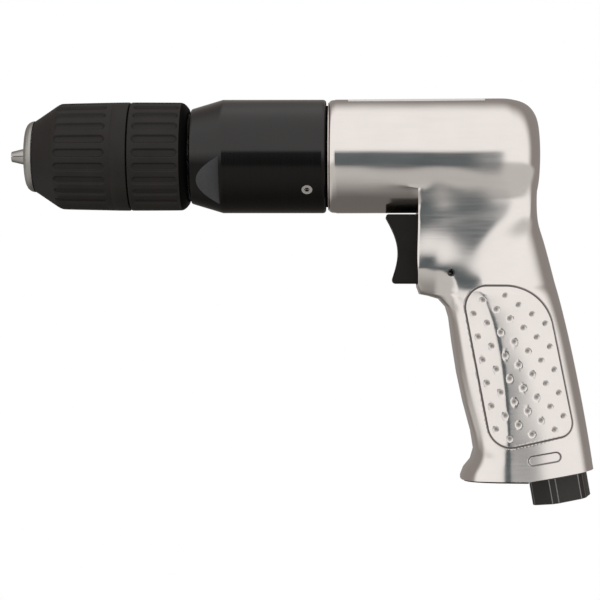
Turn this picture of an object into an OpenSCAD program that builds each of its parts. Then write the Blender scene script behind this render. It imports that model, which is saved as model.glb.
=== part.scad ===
// Pistol grip air drill with a keyless chuck.
// The spindle axis is X, the chuck points to -X, and the handle hangs down along -Z.
// The origin lies on the spindle axis in the plane of the chuck's nose face.

/* [Chuck] */
// Diameter of the flat nose face
nose_face_d = 22.4; // [18:0.2:25]
// Diameter of the nose where the front sleeve begins
nose_d = 28.4; // [27:0.2:31]
// Length of the bare nose
nose_len = 3.2; // [2.4:0.1:4.4]
// Diameter of the sleeves where they meet
sleeve_d = 43.2; // [42:0.2:45]
// Diameter of the front sleeve at the end of its cone
sleeve_shoulder_d = 41.6; // [40:0.2:42]
// Length of the front sleeve's cone
sleeve_cone_len = 10.8; // [8:0.2:13]
// Length of the front sleeve
front_sleeve_len = 38.3; // [37.6:0.1:42]
// Length of the rear sleeve
rear_sleeve_len = 23.2; // [22.8:0.1:27]
// Rounding of the rear sleeve's back edge
rear_sleeve_round = 2.8; // [1.5:0.1:3.5]
// Number of grooves around each sleeve
groove_count = 24; // [18:1:28]
// Width of one grip groove
groove_w = 3.2; // [2:0.1:3.6]
// Depth of one grip groove
groove_depth = 0.6; // [0.3:0.1:1]
// Largest bit that the jaws take
bit_d_max = 13; // [12:0.5:13.5]
// Smallest bit that the jaws close on
bit_d_min = 1.5; // [1.2:0.1:2.4]
// Angle between a jaw and the spindle axis
jaw_angle = 15; // [14.5:0.1:15.4]
// Diameter of a jaw
jaw_d = 7; // [6.4:0.1:7.2]
// Reach of the closed jaws ahead of the nose face
jaw_reach = 6.4; // [4:0.2:8]
// Set-back of the nut behind the nose
nut_set_back = 18.8; // [18:0.2:20]
// Length of the nut
nut_len = 8.5; // [7:0.1:9]
// Diameter of the nut
nut_d = 34; // [33:0.2:35]
// Diameter of the spindle's chuck thread
spindle_thread_d = 12.7; // [10:0.1:13]
// Length of the spindle's chuck thread
spindle_thread_len = 16; // [12:0.5:17]
// Diameter of the screw that keeps the chuck on the spindle
chuck_screw_d = 6; // [5:0.5:7]

/* [Gear case] */
// Diameter of the gear case
gear_case_d = 45.2; // [44.6:0.2:47]
// Diameter of the gear case at its front face
gear_case_front_d = 38; // [36.4:0.2:39]
// Length of the gear case's front cone
gear_cone_len = 12.4; // [10:0.2:14]
// Length of the gear case from its front face to its rear edge
gear_case_len = 53.6; // [53:0.2:56]
// Gap between the chuck and the gear case
chuck_gap = 0.8; // [0.5:0.1:1.6]
// Distance of the wrench flats from the spindle axis
wrench_flat_r = 19.7; // [19.2:0.1:20.5]
// Angle of the wrench flats below the horizontal
wrench_flat_turn = 32; // [20:1:45]
// Diameter of the grease plug
grease_plug_d = 4.2; // [3:0.1:4.6]
// Angle of the grease plug below the horizontal
grease_plug_turn = 39; // [20:1:60]
// Length of the thread that holds the gear case in the housing
case_thread_len = 10; // [7:0.5:12]
// Diameter of the thread that holds the gear case in the housing
case_thread_d = 40.4; // [39.6:0.2:41]

/* [Gears] */
// Module of all gears
gear_module = 0.75; // [0.72:0.01:0.76]
// Pressure angle of the teeth
pressure_angle = 25; // [22:0.5:27]
// Thinning of each tooth for free running
tooth_play = 0.08; // [0.06:0.01:0.14]
// Face width of the second stage planets
planet2_w = 8.6; // [7:0.1:8.8]
// Face width of the first stage planets
planet1_w = 7.8; // [6:0.1:8]
// Diameter of the planet pins
planet_pin_d = 4.5; // [3.5:0.1:5]
// Thickness of each planet carrier disc
carrier_w = 3.8; // [3:0.1:4]
// Diameter of each planet carrier disc
carrier_d = 28; // [26:0.2:28.6]

/* [Bearings] */
// Bore of the spindle bearing
spindle_bearing_id = 15; // [14.4:0.1:15.6]
// Outside diameter of the spindle bearing
spindle_bearing_od = 32; // [30:0.5:33]
// Width of the spindle bearing
spindle_bearing_w = 9; // [8:0.1:9.4]
// Bore of the front rotor bearing
front_bearing_id = 12; // [11.4:0.1:12.4]
// Outside diameter of the front rotor bearing
front_bearing_od = 21; // [20:0.5:22]
// Width of the front rotor bearing
front_bearing_w = 5; // [4:0.1:5.4]
// Bore of the rear rotor bearing
rear_bearing_id = 8; // [7:0.1:9]
// Outside diameter of the rear rotor bearing
rear_bearing_od = 22; // [20:0.5:23]
// Width of the rear rotor bearing
rear_bearing_w = 7; // [6:0.1:7.4]

/* [Motor] */
// Outside diameter of the motor parts
motor_d = 36; // [35.8:0.1:36.6]
// Length of the motor cylinder
cylinder_len = 44; // [40:0.5:45]
// Diameter of the cylinder's bore
cylinder_bore_d = 28.4; // [27.8:0.1:28.8]
// Distance of the cylinder's bore below the rotor axis
cylinder_offset = 2.4; // [2:0.1:2.5]
// Diameter of the rotor
rotor_d = 23; // [21:0.1:23]
// Number of vanes
vane_count = 5; // [4:1:6]
// Thickness of a vane
vane_w = 1.5; // [1:0.1:2]
// Depth of a vane
vane_h = 6; // [4:0.2:6.4]
// Diameter of the dowel through the motor parts
dowel_d = 2.5; // [2:0.1:3]

/* [Housing] */
// Diameter of the barrel at its front
barrel_d = 45.2; // [44.8:0.2:47]
// Diameter of the barrel ahead of its rounded back
barrel_rear_d = 46.2; // [45.6:0.2:47]
// Length of the barrel with its rounded back
barrel_len = 84; // [82:0.1:88]
// Length of the barrel's tapered back
barrel_back_len = 15.7; // [14:0.1:19]
// Rounding of the barrel's back corner
barrel_back_round = 7.5; // [5:0.1:9]
// Rounding of the barrel's front edge
barrel_front_round = 3; // [1:0.1:3.6]
// Gap between the gear case and the barrel
case_gap = 1.2; // [0.6:0.1:2]
// Length of the nameplate
nameplate_len = 54.2; // [40:0.2:56]
// Angle that the nameplate spans
nameplate_span = 32; // [20:1:40]
// Thickness of the nameplate
nameplate_t = 0.3; // [0.2:0.05:0.5]

/* [Handle] */
// Distance from the barrel's front edge to the trigger block
block_set_back = 35; // [33:0.2:37]
// Drop of the trigger block's lower edge below the spindle axis
block_drop = 55.1; // [54.4:0.1:57]
// Width of the trigger block
block_w = 38; // [36:0.2:40]
// Depth of the grip from front to back
grip_depth = 45.2; // [44.2:0.1:47.4]
// Width of the grip
grip_w = 36; // [34.6:0.2:39]
// Slope of the grip's back
grip_tilt = 12.7; // [11.8:0.1:13.4]
// Bow of the grip's back
grip_bow = 1.9; // [0:0.1:2.6]
// Drop of the handle's flat bottom below the spindle axis
handle_drop = 128; // [126:0.2:134]
// Reach of the toe ahead of the grip
toe_reach = 6; // [3:0.2:8]
// Slope of the bottom around the inlet
bottom_tilt = 10; // [8:0.2:11]

/* [Throttle] */
// Width of the trigger
trigger_w = 18; // [14:0.2:20]
// Height of the trigger
trigger_h = 27.4; // [26:0.2:28]
// Gap between the barrel and the trigger
trigger_drop = 0.7; // [0.4:0.1:1.2]
// Reach of the trigger ahead of its block
trigger_reach = 12.4; // [11:0.2:14.6]
// Travel of the trigger
trigger_travel = 5; // [3:0.1:5]
// Diameter of the trigger pin
trigger_pin_d = 2.9; // [2.4:0.1:3.2]
// Diameter of the trigger's guide stem
guide_d = 6.4; // [5.6:0.1:7]
// Diameter of the valve chamber
valve_bore_d = 13; // [11.6:0.1:13.4]
// Diameter of the valve stem
valve_stem_d = 4.4; // [3.6:0.1:5]
// Diameter of the valve head
valve_head_d = 10.4; // [9.6:0.1:11]
// Diameter of the spring wire
spring_wire_d = 0.9; // [0.6:0.1:1.1]
// Turns of the valve spring
spring_turns = 6; // [4:1:7]

/* [Inlet and exhaust] */
// Inlet hexagon across flats
inlet_af = 21.6; // [20:0.1:23]
// Diameter to which the hexagon's corners are turned
inlet_corner_d = 23.6; // [22:0.1:24.4]
// Height of the inlet hexagon
inlet_hex_h = 10; // [8:0.1:12]
// Diameter of the inlet bushing's own thread
inlet_shank_d = 18; // [16:0.1:18.6]
// Length of the inlet bushing's own thread
inlet_shank_len = 16; // [12:0.5:18]
// Diameter of the hose thread in the inlet
inlet_bore_d = 11.1; // [10:0.1:12]
// Depth of the hose thread in the inlet
inlet_bore_len = 14; // [12:0.5:18]
// Diameter of the air passage in the handle
air_passage_d = 10; // [8:0.2:11]
// Distance of the inlet from the handle's heel
inlet_set_in = 14.3; // [13.2:0.1:15]
// Thickness of the inlet washer
inlet_washer_t = 0.9; // [0.5:0.1:1.5]
// Thickness of the exhaust plate
exhaust_plate_t = 0.8; // [0.5:0.1:1.5]
// Diameter of each exhaust passage
exhaust_d = 4.8; // [4:0.1:5.2]

/* [Hidden] */
$fn = 64;

// Clearances
fit = 0.05;
run_gap = 0.3;
face_gap = 0.5;
over = 1;

// Colours
steel = "#b4b5b6";
dark_steel = "#77787a";
black_plastic = "#2c2927";
black_metal = "#1e1d1d";
casting = "#c9c4bd";
brass = "#b9974f";
rubber = "#191919";
felt = "#8d8577";

// Chuck stations along X and radii
sleeve_lip_wall = 0.9;
core_r = nose_d / 2 - sleeve_lip_wall - run_gap;
front_sleeve_x0 = nose_len + 0.25;
front_sleeve_x1 = nose_len + front_sleeve_len;
rear_sleeve_x0 = front_sleeve_x1 + face_gap;
chuck_x1 = rear_sleeve_x0 + rear_sleeve_len;
jaw_r = jaw_d / 2 - fit;
jaw_bore_r = jaw_d / 2;
jaw_side_gap = 0.08;
jaw_turn = 30;
jaw_travel = (bit_d_max - bit_d_min) / 2 / sin(jaw_angle);
bit_bore_r = bit_d_max / 2 + 0.2;
nut_x0 = nose_len + nut_set_back;
nut_x1 = nut_x0 + nut_len;
nut_r = nut_d / 2;
nut_split = 0.4;
thrust_ball_d = 2;
thrust_ball_count = 16;
thrust_x0 = nut_x1 + fit;
washer_x0 = thrust_x0 + thrust_ball_d + fit;
washer_w = 1.2;
collar_x0 = washer_x0 + washer_w;
collar_w = 3.2;
collar_r = nut_r - face_gap;
rear_seat_len = 7;
rear_seat_x0 = chuck_x1 - rear_seat_len;
rear_seat_r = 17;
rear_sleeve_wall = 2.3;
jaw_x1 = collar_x0;
thread_x0 = chuck_x1 - spindle_thread_len;
chuck_web = 5;
bit_bore_x1 = thread_x0 - chuck_web;
chuck_screw_head_r = chuck_screw_d / 2 + 2;
chuck_screw_head_h = 3.5;
chuck_screw_len = 10;
socket_r = chuck_screw_d / 2 - 0.5;
groove_front_x0 = nose_len + sleeve_cone_len - 1.2;
groove_front_len = 20;
groove_rear_x0 = rear_sleeve_x0 + 1.8;
groove_rear_len = rear_sleeve_len - 1.8 - rear_sleeve_round - 0.6;

// Gear case stations along X and radii
case_x0 = chuck_x1 + chuck_gap;
case_x1 = case_x0 + gear_case_len;
case_r = gear_case_d / 2;
case_edge = 0.8;
case_edge_len = 1;
seal_x0 = case_x0 + 2.2;
seal_w = 2.6;
seal_r = 12.5;
bearing_x0 = seal_x0 + seal_w + 0.2;
bearing_x1 = bearing_x0 + spindle_bearing_w;
ring_groove_x0 = bearing_x1 + 0.2;
retaining_w = 1.2;
retaining_depth = 1;
main_bore_x0 = ring_groove_x0 + retaining_w + 0.6;
main_bore_r = motor_d / 2 + fit;
spindle_r = spindle_bearing_id / 2;

// Gear sizes
sun_teeth = 12;
planet_teeth = 15;
ring_teeth = sun_teeth + 2 * planet_teeth;
centre_distance = gear_module * (sun_teeth + planet_teeth) / 2;
addendum = 0.8 * gear_module;
dedendum = 1.05 * gear_module;
flank_steps = 4;
planet_pin_r = planet_pin_d / 2;

// Gear stations along X
carrier2_x0 = main_bore_x0 + 0.2;
carrier2_x1 = carrier2_x0 + carrier_w;
planet2_x0 = carrier2_x1 + 0.6;
planet2_x1 = planet2_x0 + planet2_w;
carrier1_x0 = planet2_x1 + 1;
carrier1_x1 = carrier1_x0 + carrier_w;
planet1_x0 = carrier1_x1 + 0.6;
planet1_x1 = planet1_x0 + planet1_w;
ring_gear_x0 = planet2_x0 - 0.2;
ring_gear_x1 = planet1_x1 + 0.4;
pin_seat = 3;
pin_tail = 0.3;

// Motor stations along X
front_plate_x0 = max(case_x1 - 3.6, ring_gear_x1 + grease_plug_d + 0.8);
plate_lip = 1.5;
front_plate_x1 = front_plate_x0 + front_bearing_w + plate_lip;
cylinder_x0 = front_plate_x1;
cylinder_x1 = cylinder_x0 + cylinder_len;
rear_plate_x1 = cylinder_x1 + plate_lip + rear_bearing_w;
rotor_r = rotor_d / 2;
grease_plug_x = (ring_gear_x1 + front_plate_x0) / 2;
dowel_z = (motor_d / 2 + cylinder_bore_d / 2 - cylinder_offset) / 2;

// Housing stations along X
barrel_x0 = case_x1 + case_gap;
barrel_x1 = barrel_x0 + barrel_len;
barrel_r = barrel_d / 2;
barrel_rear_r = barrel_rear_d / 2;
thread_bore_x1 = case_x1 + case_thread_len + 0.4;
motor_bore_x1 = rear_plate_x1 + 0.6;
rear_chamber_len = 8;
rear_chamber_r = 10;
nameplate_set_back = 7.6;
nameplate_x0 = barrel_x0 + nameplate_set_back;
nameplate_r = barrel_r - nameplate_t;

// Handle outline
block_x = barrel_x0 + block_set_back;
back_slope = 13;
back_crown = 0.5;
web_x = barrel_x1 - 1.4;
web_z = -19;
web_ease = 10;
finger_r = 8.6;
finger_lean = 1.4;
toe_h = 12;
heel_z = -handle_drop + 4.7;
handle_points = 32;
block_round = 9;
grip_round = 2.7;

// Throttle positions
trigger_top = -barrel_r - trigger_drop;
trigger_bottom = trigger_top - trigger_h;
trigger_x0 = block_x - trigger_reach;
trigger_seat = 2.8;
trigger_x1 = block_x + trigger_seat;
pocket_gap = 0.35;
pocket_x1 = trigger_x1 + trigger_travel + 0.8;
pin_set_back = 12.9;
pin_x = block_x + pin_set_back;
pin_rise = 4.2;
pin_z = trigger_bottom + pin_rise;
pin_r = trigger_pin_d / 2;
guide_r = guide_d / 2;
guide_x1 = pin_x + pin_r + 6;
valve_drop = 9.7;
valve_z = trigger_top - valve_drop;
valve_bore_r = valve_bore_d / 2;
seat_x0 = pocket_x1 + 0.6;
seat_guide = 2.5;
seat_len = 8;
seat_x1 = seat_x0 + seat_len;
seat_port_x = seat_x0 + 5.2;
seat_port_r = 1.8;
seal_groove = 1.2;
seat_seal_x = seat_x0 + 1.8;
valve_head_x0 = seat_x1 + 0.1;
valve_head_w = 2.8;
valve_boss_w = 3;
spring_x0 = valve_head_x0 + valve_head_w;
spring_len = 14;
spring_x1 = spring_x0 + spring_len;
spring_r = 3.4;

// Inlet and exhaust positions
heel_x = back_x(heel_z);
inlet_down = [sin(bottom_tilt), 0, -cos(bottom_tilt)];
inlet_along = [cos(bottom_tilt), 0, sin(bottom_tilt)];
inlet_seat = [heel_x, 0, heel_z] - inlet_set_in * inlet_along;
inlet_hex_turn = 25;
inlet_hole_len = inlet_shank_len + 1;
screen_t = 0.8;
passage_len = (valve_z - inlet_seat[2]) / cos(bottom_tilt);
passage_top = inlet_seat - passage_len * inlet_down;
bottom_break_x = heel_x - (heel_z + handle_drop) / tan(bottom_tilt);
exhaust_y = 10;
exhaust_set_back = 16.2;
exhaust_x0 = block_x + exhaust_set_back;
exhaust_z0 = -10;
muffler_x1 = bottom_break_x + 1.2;
muffler_len = 13.4;
muffler_w = 23;
muffler_h = 10;
exhaust_len = (handle_drop - muffler_h + exhaust_z0 + 2) / cos(bottom_tilt);
plate_screw_d = 2.5;
plate_screw_y = 14;
plate_screw_len = 6;
plate_screw_head_d = 4.6;
plate_scale = 0.94;
exhaust_slot = [1.8, 15];
exhaust_slot_step = 4;
plate_screw_x = muffler_x1 - muffler_len / 2;

// Turned solid about the spindle axis from points [radius, x]
module turned(points) {
    rotate([0, 90, 0]) rotate_extrude() polygon(points);
}

// Round bar along the spindle axis
module bar(x0, x1, r) {
    translate([x0, 0, 0]) rotate([0, 90, 0]) cylinder(h = x1 - x0, r = r);
}

// Ring along the spindle axis
module tube(x0, x1, r_out, r_in) {
    difference() {
        bar(x0, x1, r_out);
        bar(x0 - over, x1 + over, r_in);
    }
}

// Round bar across the drill
module cross_bar(x, z, half, r) {
    translate([x, -half, z]) rotate([-90, 0, 0]) cylinder(h = 2 * half, r = r);
}

// Places children drawn along +Z onto the spindle axis at x
module on_axis(x) {
    translate([x, 0, 0]) rotate([0, 90, 0]) children();
}

// Points of an arc from angle a0 to a1
function arc(cx, cy, r, a0, a1, n) = [for (i = [0:n]) [
    cx + r * cos(a0 + (a1 - a0) * i / n),
    cy + r * sin(a0 + (a1 - a0) * i / n)]];

// Jaws

// Largest distance of a jaw bore from the spindle axis at station x
function jaw_outer(x) = x * tan(jaw_angle) + jaw_bore_r / cos(jaw_angle);

// Rod along the line on which jaw k slides, between two stations along X
module jaw_rod(k, x0, x1, r) {
    rotate([jaw_turn + 120 * k, 0, 0])
        rotate([0, 90 - jaw_angle, 0])
            translate([0, 0, x0 / cos(jaw_angle)])
                cylinder(h = (x1 - x0) / cos(jaw_angle), r = r);
}

module jaw(k) {
    reach = 30;
    back = 60;
    color(steel) difference() {
        intersection() {
            jaw_rod(k, -jaw_reach - 6, jaw_x1, jaw_r);
            rotate([jaw_turn + 120 * k, 0, 0])
                translate([-jaw_reach, 0, 0])
                    rotate([90, 0, 90])
                        linear_extrude(height = back)
                            translate([0, jaw_side_gap / cos(60)])
                                polygon([[0, 0], [reach * sin(60), reach * cos(60)], [0, 2 * reach],
                                    [-reach * sin(60), reach * cos(60)]]);
        }
        bar(-jaw_reach - over, back, bit_d_min / 2);
        jaw_notches(k);
    }
}

// Thread notches along the outer back of jaw k
module jaw_notches(k) {
    pitch = 2.75;
    count = 6;
    notch = 1.3;
    depth = 0.7;
    rotate([jaw_turn + 120 * k, 0, 0])
        rotate([0, 90 - jaw_angle, 0])
            for (i = [0:count - 1])
                translate([-jaw_r, -jaw_r, jaw_x1 / cos(jaw_angle) - 2.4 - pitch * i])
                    cube([depth, 2 * jaw_r, notch]);
}

module jaw_1() {
    jaw(0);
}

module jaw_2() {
    jaw(1);
}

module jaw_3() {
    jaw(2);
}

// Domed outline of the nose as points [radius, x]
function nose_dome() =
    let (rise = (nose_d - nose_face_d) / 2)
    let (steps = 5)
    [for (i = [0:steps]) let (a = 90 * i / steps)
        [nose_face_d / 2 + rise * sin(a), nose_len * (1 - cos(a))]];

// Steel core of the chuck with its nose, nut groove, collar and rear seat
module chuck_body() {
    groove_r = jaw_outer(nut_x0);
    washer_seat_r = jaw_outer(collar_x0);
    color(steel) difference() {
        turned([
            [0, 0], each nose_dome(), [core_r, nose_len],
            [core_r, nut_x0 - run_gap], [groove_r - run_gap, nut_x0 - run_gap],
            [groove_r - run_gap, nut_x1 + run_gap], [washer_seat_r - run_gap, nut_x1 + run_gap],
            [washer_seat_r - run_gap, collar_x0], [collar_r, collar_x0],
            [collar_r, collar_x0 + collar_w], [core_r, collar_x0 + collar_w],
            [core_r, rear_seat_x0], [rear_seat_r, rear_seat_x0],
            [rear_seat_r, chuck_x1], [0, chuck_x1]]);
        bar(-over, bit_bore_x1, bit_bore_r);
        bar(bit_bore_x1 - over, chuck_x1, chuck_screw_d / 2 + 0.2);
        bar(thread_x0, chuck_x1 + over, spindle_thread_d / 2);
        for (k = [0:2])
            jaw_rod(k, -jaw_reach, jaw_x1 + jaw_travel * cos(jaw_angle) + 1.6, jaw_bore_r);
    }
}

// Grip grooves around a sleeve
module grip_grooves(x0, len, r) {
    for (i = [0:groove_count - 1])
        rotate([360 * i / groove_count, 0, 0])
            translate([x0, -groove_w / 2, r - groove_depth])
                cube([len, groove_w, groove_depth + 3]);
}

// Ribbed sleeve that is turned to open and close the jaws
module front_sleeve() {
    color(black_plastic) difference() {
        turned([
            [core_r + run_gap, front_sleeve_x0], [nose_d / 2, front_sleeve_x0],
            [sleeve_shoulder_d / 2 - 0.7, nose_len + sleeve_cone_len - 1.4],
            [sleeve_shoulder_d / 2, nose_len + sleeve_cone_len + 0.8],
            [sleeve_d / 2, front_sleeve_x1], [nut_r, front_sleeve_x1],
            [nut_r, nut_x0], [core_r + run_gap, nut_x0]]);
        grip_grooves(groove_front_x0, groove_front_len, sleeve_shoulder_d / 2);
    }
}

// Ribbed sleeve that is pressed on the back of the chuck body
module rear_sleeve() {
    r = sleeve_d / 2;
    inner = r - rear_sleeve_wall;
    e = rear_sleeve_round;
    round = arc(r - 0.2 - e, chuck_x1 - e, e, 0, 80, 4);
    color(black_plastic) difference() {
        turned(concat(
            [[inner, rear_sleeve_x0], [r, rear_sleeve_x0]],
            round,
            [[rear_seat_r, chuck_x1], [rear_seat_r, rear_seat_x0], [inner, rear_seat_x0]]));
        grip_grooves(groove_rear_x0, groove_rear_len, r - 0.1);
    }
}

// Split nut that drives the jaws
module chuck_nut() {
    gap = 0.2;
    color(dark_steel) difference() {
        turned([
            [jaw_outer(nut_x0) + gap, nut_x0], [nut_r, nut_x0],
            [nut_r, nut_x1], [jaw_outer(nut_x1) + gap, nut_x1]]);
        translate([nut_x0 - over, -nut_d, -nut_split / 2]) cube([nut_len + 2 * over, 2 * nut_d, nut_split]);
    }
}

// Balls between the nut and its washer
module nut_thrust_balls() {
    ring_r = (jaw_outer(collar_x0) + collar_r) / 2;
    color(steel) for (i = [0:thrust_ball_count - 1])
        rotate([360 * i / thrust_ball_count, 0, 0])
            translate([thrust_x0 + thrust_ball_d / 2, 0, ring_r])
                sphere(d = thrust_ball_d, $fn = 32);
}

// Washer behind the nut's balls
module nut_thrust_washer() {
    color(steel) tube(washer_x0, collar_x0, collar_r, jaw_outer(collar_x0));
}

// Socket screw through the chuck into the spindle
module chuck_screw() {
    color(dark_steel) difference() {
        union() {
            bar(bit_bore_x1 - chuck_screw_head_h, bit_bore_x1, chuck_screw_head_r);
            bar(bit_bore_x1 - over, thread_x0 + chuck_screw_len, chuck_screw_d / 2);
        }
        on_axis(bit_bore_x1 - chuck_screw_head_h - over) cylinder(h = 2 + over, r = socket_r, $fn = 6);
    }
}

// Spindle

// Output shaft with the carrier of the second planet stage
module spindle() {
    shaft_r = spindle_thread_d / 2 - fit;
    color(steel) difference() {
        turned([
            [0, thread_x0 + run_gap], [shaft_r, thread_x0 + run_gap], [shaft_r, chuck_x1],
            [spindle_r, chuck_x1], [spindle_r, bearing_x1],
            [spindle_r + 1.4, bearing_x1], [spindle_r + 1.4, carrier2_x0],
            [carrier_d / 2, carrier2_x0], [carrier_d / 2, carrier2_x1], [0, carrier2_x1]]);
        bar(thread_x0, thread_x0 + chuck_screw_len + 1, chuck_screw_d / 2);
        for (k = [0:2])
            on_axis(carrier2_x1 - pin_seat) planet_place(k) cylinder(h = pin_seat + over, r = planet_pin_r);
    }
}

// Bearings

// Ball radius, ball ring radius and ring edge for a bearing of bore a and outside diameter b
function ball_radius(a, b) = (b - a) * 0.15;
function ball_ring(a, b) = (a + b) / 4;

module bearing_outer(x, w, a, b) {
    ball = ball_radius(a, b);
    color(steel) difference() {
        tube(x, x + w, b / 2, ball_ring(a, b) + 0.6 * ball);
        on_axis(x + w / 2) rotate_extrude() translate([ball_ring(a, b), 0]) circle(r = ball + 0.09);
    }
}

module bearing_inner(x, w, a, b) {
    ball = ball_radius(a, b);
    color(steel) difference() {
        tube(x, x + w, ball_ring(a, b) - 0.6 * ball, a / 2);
        on_axis(x + w / 2) rotate_extrude() translate([ball_ring(a, b), 0]) circle(r = ball + fit);
    }
}

module bearing_balls(x, w, a, b, count) {
    color(steel) for (i = [0:count - 1])
        rotate([360 * i / count, 0, 0])
            translate([x + w / 2, 0, ball_ring(a, b)])
                sphere(r = ball_radius(a, b), $fn = 32);
}

module spindle_bearing_outer() {
    bearing_outer(bearing_x0, spindle_bearing_w, spindle_bearing_id, spindle_bearing_od);
}

module spindle_bearing_inner() {
    bearing_inner(bearing_x0, spindle_bearing_w, spindle_bearing_id, spindle_bearing_od);
}

module spindle_bearing_balls() {
    bearing_balls(bearing_x0, spindle_bearing_w, spindle_bearing_id, spindle_bearing_od, 9);
}

module front_bearing_outer() {
    bearing_outer(front_plate_x0, front_bearing_w, front_bearing_id, front_bearing_od);
}

module front_bearing_inner() {
    bearing_inner(front_plate_x0, front_bearing_w, front_bearing_id, front_bearing_od);
}

module front_bearing_balls() {
    bearing_balls(front_plate_x0, front_bearing_w, front_bearing_id, front_bearing_od, 9);
}

module rear_bearing_outer() {
    bearing_outer(cylinder_x1 + plate_lip, rear_bearing_w, rear_bearing_id, rear_bearing_od);
}

module rear_bearing_inner() {
    bearing_inner(cylinder_x1 + plate_lip, rear_bearing_w, rear_bearing_id, rear_bearing_od);
}

module rear_bearing_balls() {
    bearing_balls(cylinder_x1 + plate_lip, rear_bearing_w, rear_bearing_id, rear_bearing_od, 7);
}

// Lip seal between the spindle and the gear case
module spindle_seal() {
    color(rubber) tube(seal_x0, seal_x0 + seal_w, seal_r, spindle_r + 0.1);
}

// Split ring that keeps the spindle bearing in the gear case
module bearing_retaining_ring() {
    r = spindle_bearing_od / 2;
    gap = 5;
    color(dark_steel) difference() {
        tube(ring_groove_x0, ring_groove_x0 + retaining_w, r + retaining_depth - fit, r - 2);
        translate([ring_groove_x0 - over, -gap / 2, 0]) cube([retaining_w + 2 * over, gap, 2 * r]);
    }
}

// Gears

// Involute of an angle, in degrees
function involute(a) = tan(a) * 180 / PI - a;

// Half angle of a tooth at radius r, for n teeth thickened by extra at the pitch circle
function tooth_half(n, r, extra) =
    let (pitch_r = gear_module * n / 2)
    let (base_r = pitch_r * cos(pressure_angle))
    90 / n + extra / (2 * pitch_r) * 180 / PI
        + involute(pressure_angle) - involute(acos(min(1, base_r / r)));

// Outline of a gear with n teeth between radii r0 and r1
function gear_outline(n, r0, r1, extra) = [
    for (i = [0:n - 1])
        for (s = [-1, 1])
            for (k = [0:flank_steps])
                let (r = s < 0 ? r0 + (r1 - r0) * k / flank_steps : r1 - (r1 - r0) * k / flank_steps)
                let (a = 360 * i / n + s * tooth_half(n, r, extra))
                [r * cos(a), r * sin(a)]];

module gear(n, w) {
    pitch_r = gear_module * n / 2;
    linear_extrude(height = w)
        polygon(gear_outline(n, pitch_r - dedendum, pitch_r + addendum, -tooth_play));
}

// Places a planet of number k around the axis
module planet_place(k) {
    rotate(120 * k) translate([centre_distance, 0, 0]) children();
}

module planet(k, x, w) {
    color(dark_steel) on_axis(x) planet_place(k) difference() {
        gear(planet_teeth, w);
        translate([0, 0, -over]) cylinder(h = w + 2 * over, r = planet_pin_r + fit);
    }
}

module planet_pins(x0, x1) {
    color(steel) on_axis(x0) for (k = [0:2])
        planet_place(k) cylinder(h = x1 - x0, r = planet_pin_r);
}

module planet_2a() {
    planet(0, planet2_x0, planet2_w);
}

module planet_2b() {
    planet(1, planet2_x0, planet2_w);
}

module planet_2c() {
    planet(2, planet2_x0, planet2_w);
}

module planet_2_pins() {
    planet_pins(carrier2_x1 - pin_seat, planet2_x1 + pin_tail);
}

module planet_1a() {
    planet(0, planet1_x0, planet1_w);
}

module planet_1b() {
    planet(1, planet1_x0, planet1_w);
}

module planet_1c() {
    planet(2, planet1_x0, planet1_w);
}

module planet_1_pins() {
    planet_pins(carrier1_x1 - pin_seat, planet1_x1 + pin_tail);
}

// Carrier of the first planets with the sun gear of the second stage
module intermediate_carrier() {
    color(dark_steel) difference() {
        union() {
            bar(carrier1_x0, carrier1_x1, carrier_d / 2);
            on_axis(planet2_x0) gear(sun_teeth, carrier1_x0 - planet2_x0 + over);
        }
        for (k = [0:2])
            on_axis(carrier1_x1 - pin_seat) planet_place(k) cylinder(h = pin_seat + over, r = planet_pin_r);
    }
}

// Ring gear pressed into the gear case, shared by both stages
module ring_gear() {
    pitch_r = gear_module * ring_teeth / 2;
    color(dark_steel) difference() {
        bar(ring_gear_x0, ring_gear_x1, motor_d / 2);
        on_axis(ring_gear_x0 - over)
            linear_extrude(height = ring_gear_x1 - ring_gear_x0 + 2 * over)
                polygon(gear_outline(ring_teeth, pitch_r - addendum, pitch_r + dedendum, tooth_play));
    }
}

// Motor

// Rotor with its shaft, pinion and vane slots
module rotor() {
    slot_w = vane_w + 0.1;
    body_x0 = cylinder_x0 + run_gap;
    body_x1 = cylinder_x1 - run_gap;
    front_r = front_bearing_id / 2;
    color(steel) difference() {
        union() {
            on_axis(planet1_x0) gear(sun_teeth, ring_gear_x1 - planet1_x0);
            bar(ring_gear_x1 - over, front_plate_x0, gear_module * sun_teeth / 2 - dedendum);
            bar(front_plate_x0 - fit, body_x0 + over, front_r);
            bar(body_x0, body_x1, rotor_r);
            bar(body_x1 - over, rear_plate_x1, rear_bearing_id / 2);
        }
        for (i = [0:vane_count - 1])
            rotate([360 * i / vane_count, 0, 0])
                translate([body_x0 - over / 2, -slot_w / 2, rotor_r - vane_h - 0.4])
                    cube([body_x1 - body_x0 + over, slot_w, vane_h + 2]);
    }
}

// Sliding vanes, drawn in
module vanes() {
    x0 = cylinder_x0 + run_gap + fit;
    x1 = cylinder_x1 - run_gap - fit;
    color(felt) for (i = [0:vane_count - 1])
        rotate([360 * i / vane_count, 0, 0])
            translate([x0, -vane_w / 2, rotor_r - vane_h - 0.2])
                cube([x1 - x0, vane_w, vane_h]);
}

module dowel_hole() {
    translate([0, 0, dowel_z]) bar(front_plate_x0 + 1, rear_plate_x1 - 1, dowel_d / 2 + fit);
}

// Liner in which the rotor turns off centre
module motor_cylinder() {
    port_r = 2;
    color(dark_steel) difference() {
        bar(cylinder_x0, cylinder_x1, motor_d / 2);
        translate([0, 0, -cylinder_offset]) bar(cylinder_x0 - over, cylinder_x1 + over, cylinder_bore_d / 2);
        dowel_hole();
        for (i = [0:3])
            translate([cylinder_x0 + cylinder_len * (i + 1) / 5, 0, -motor_d])
                cylinder(h = motor_d, r = port_r);
    }
}

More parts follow.
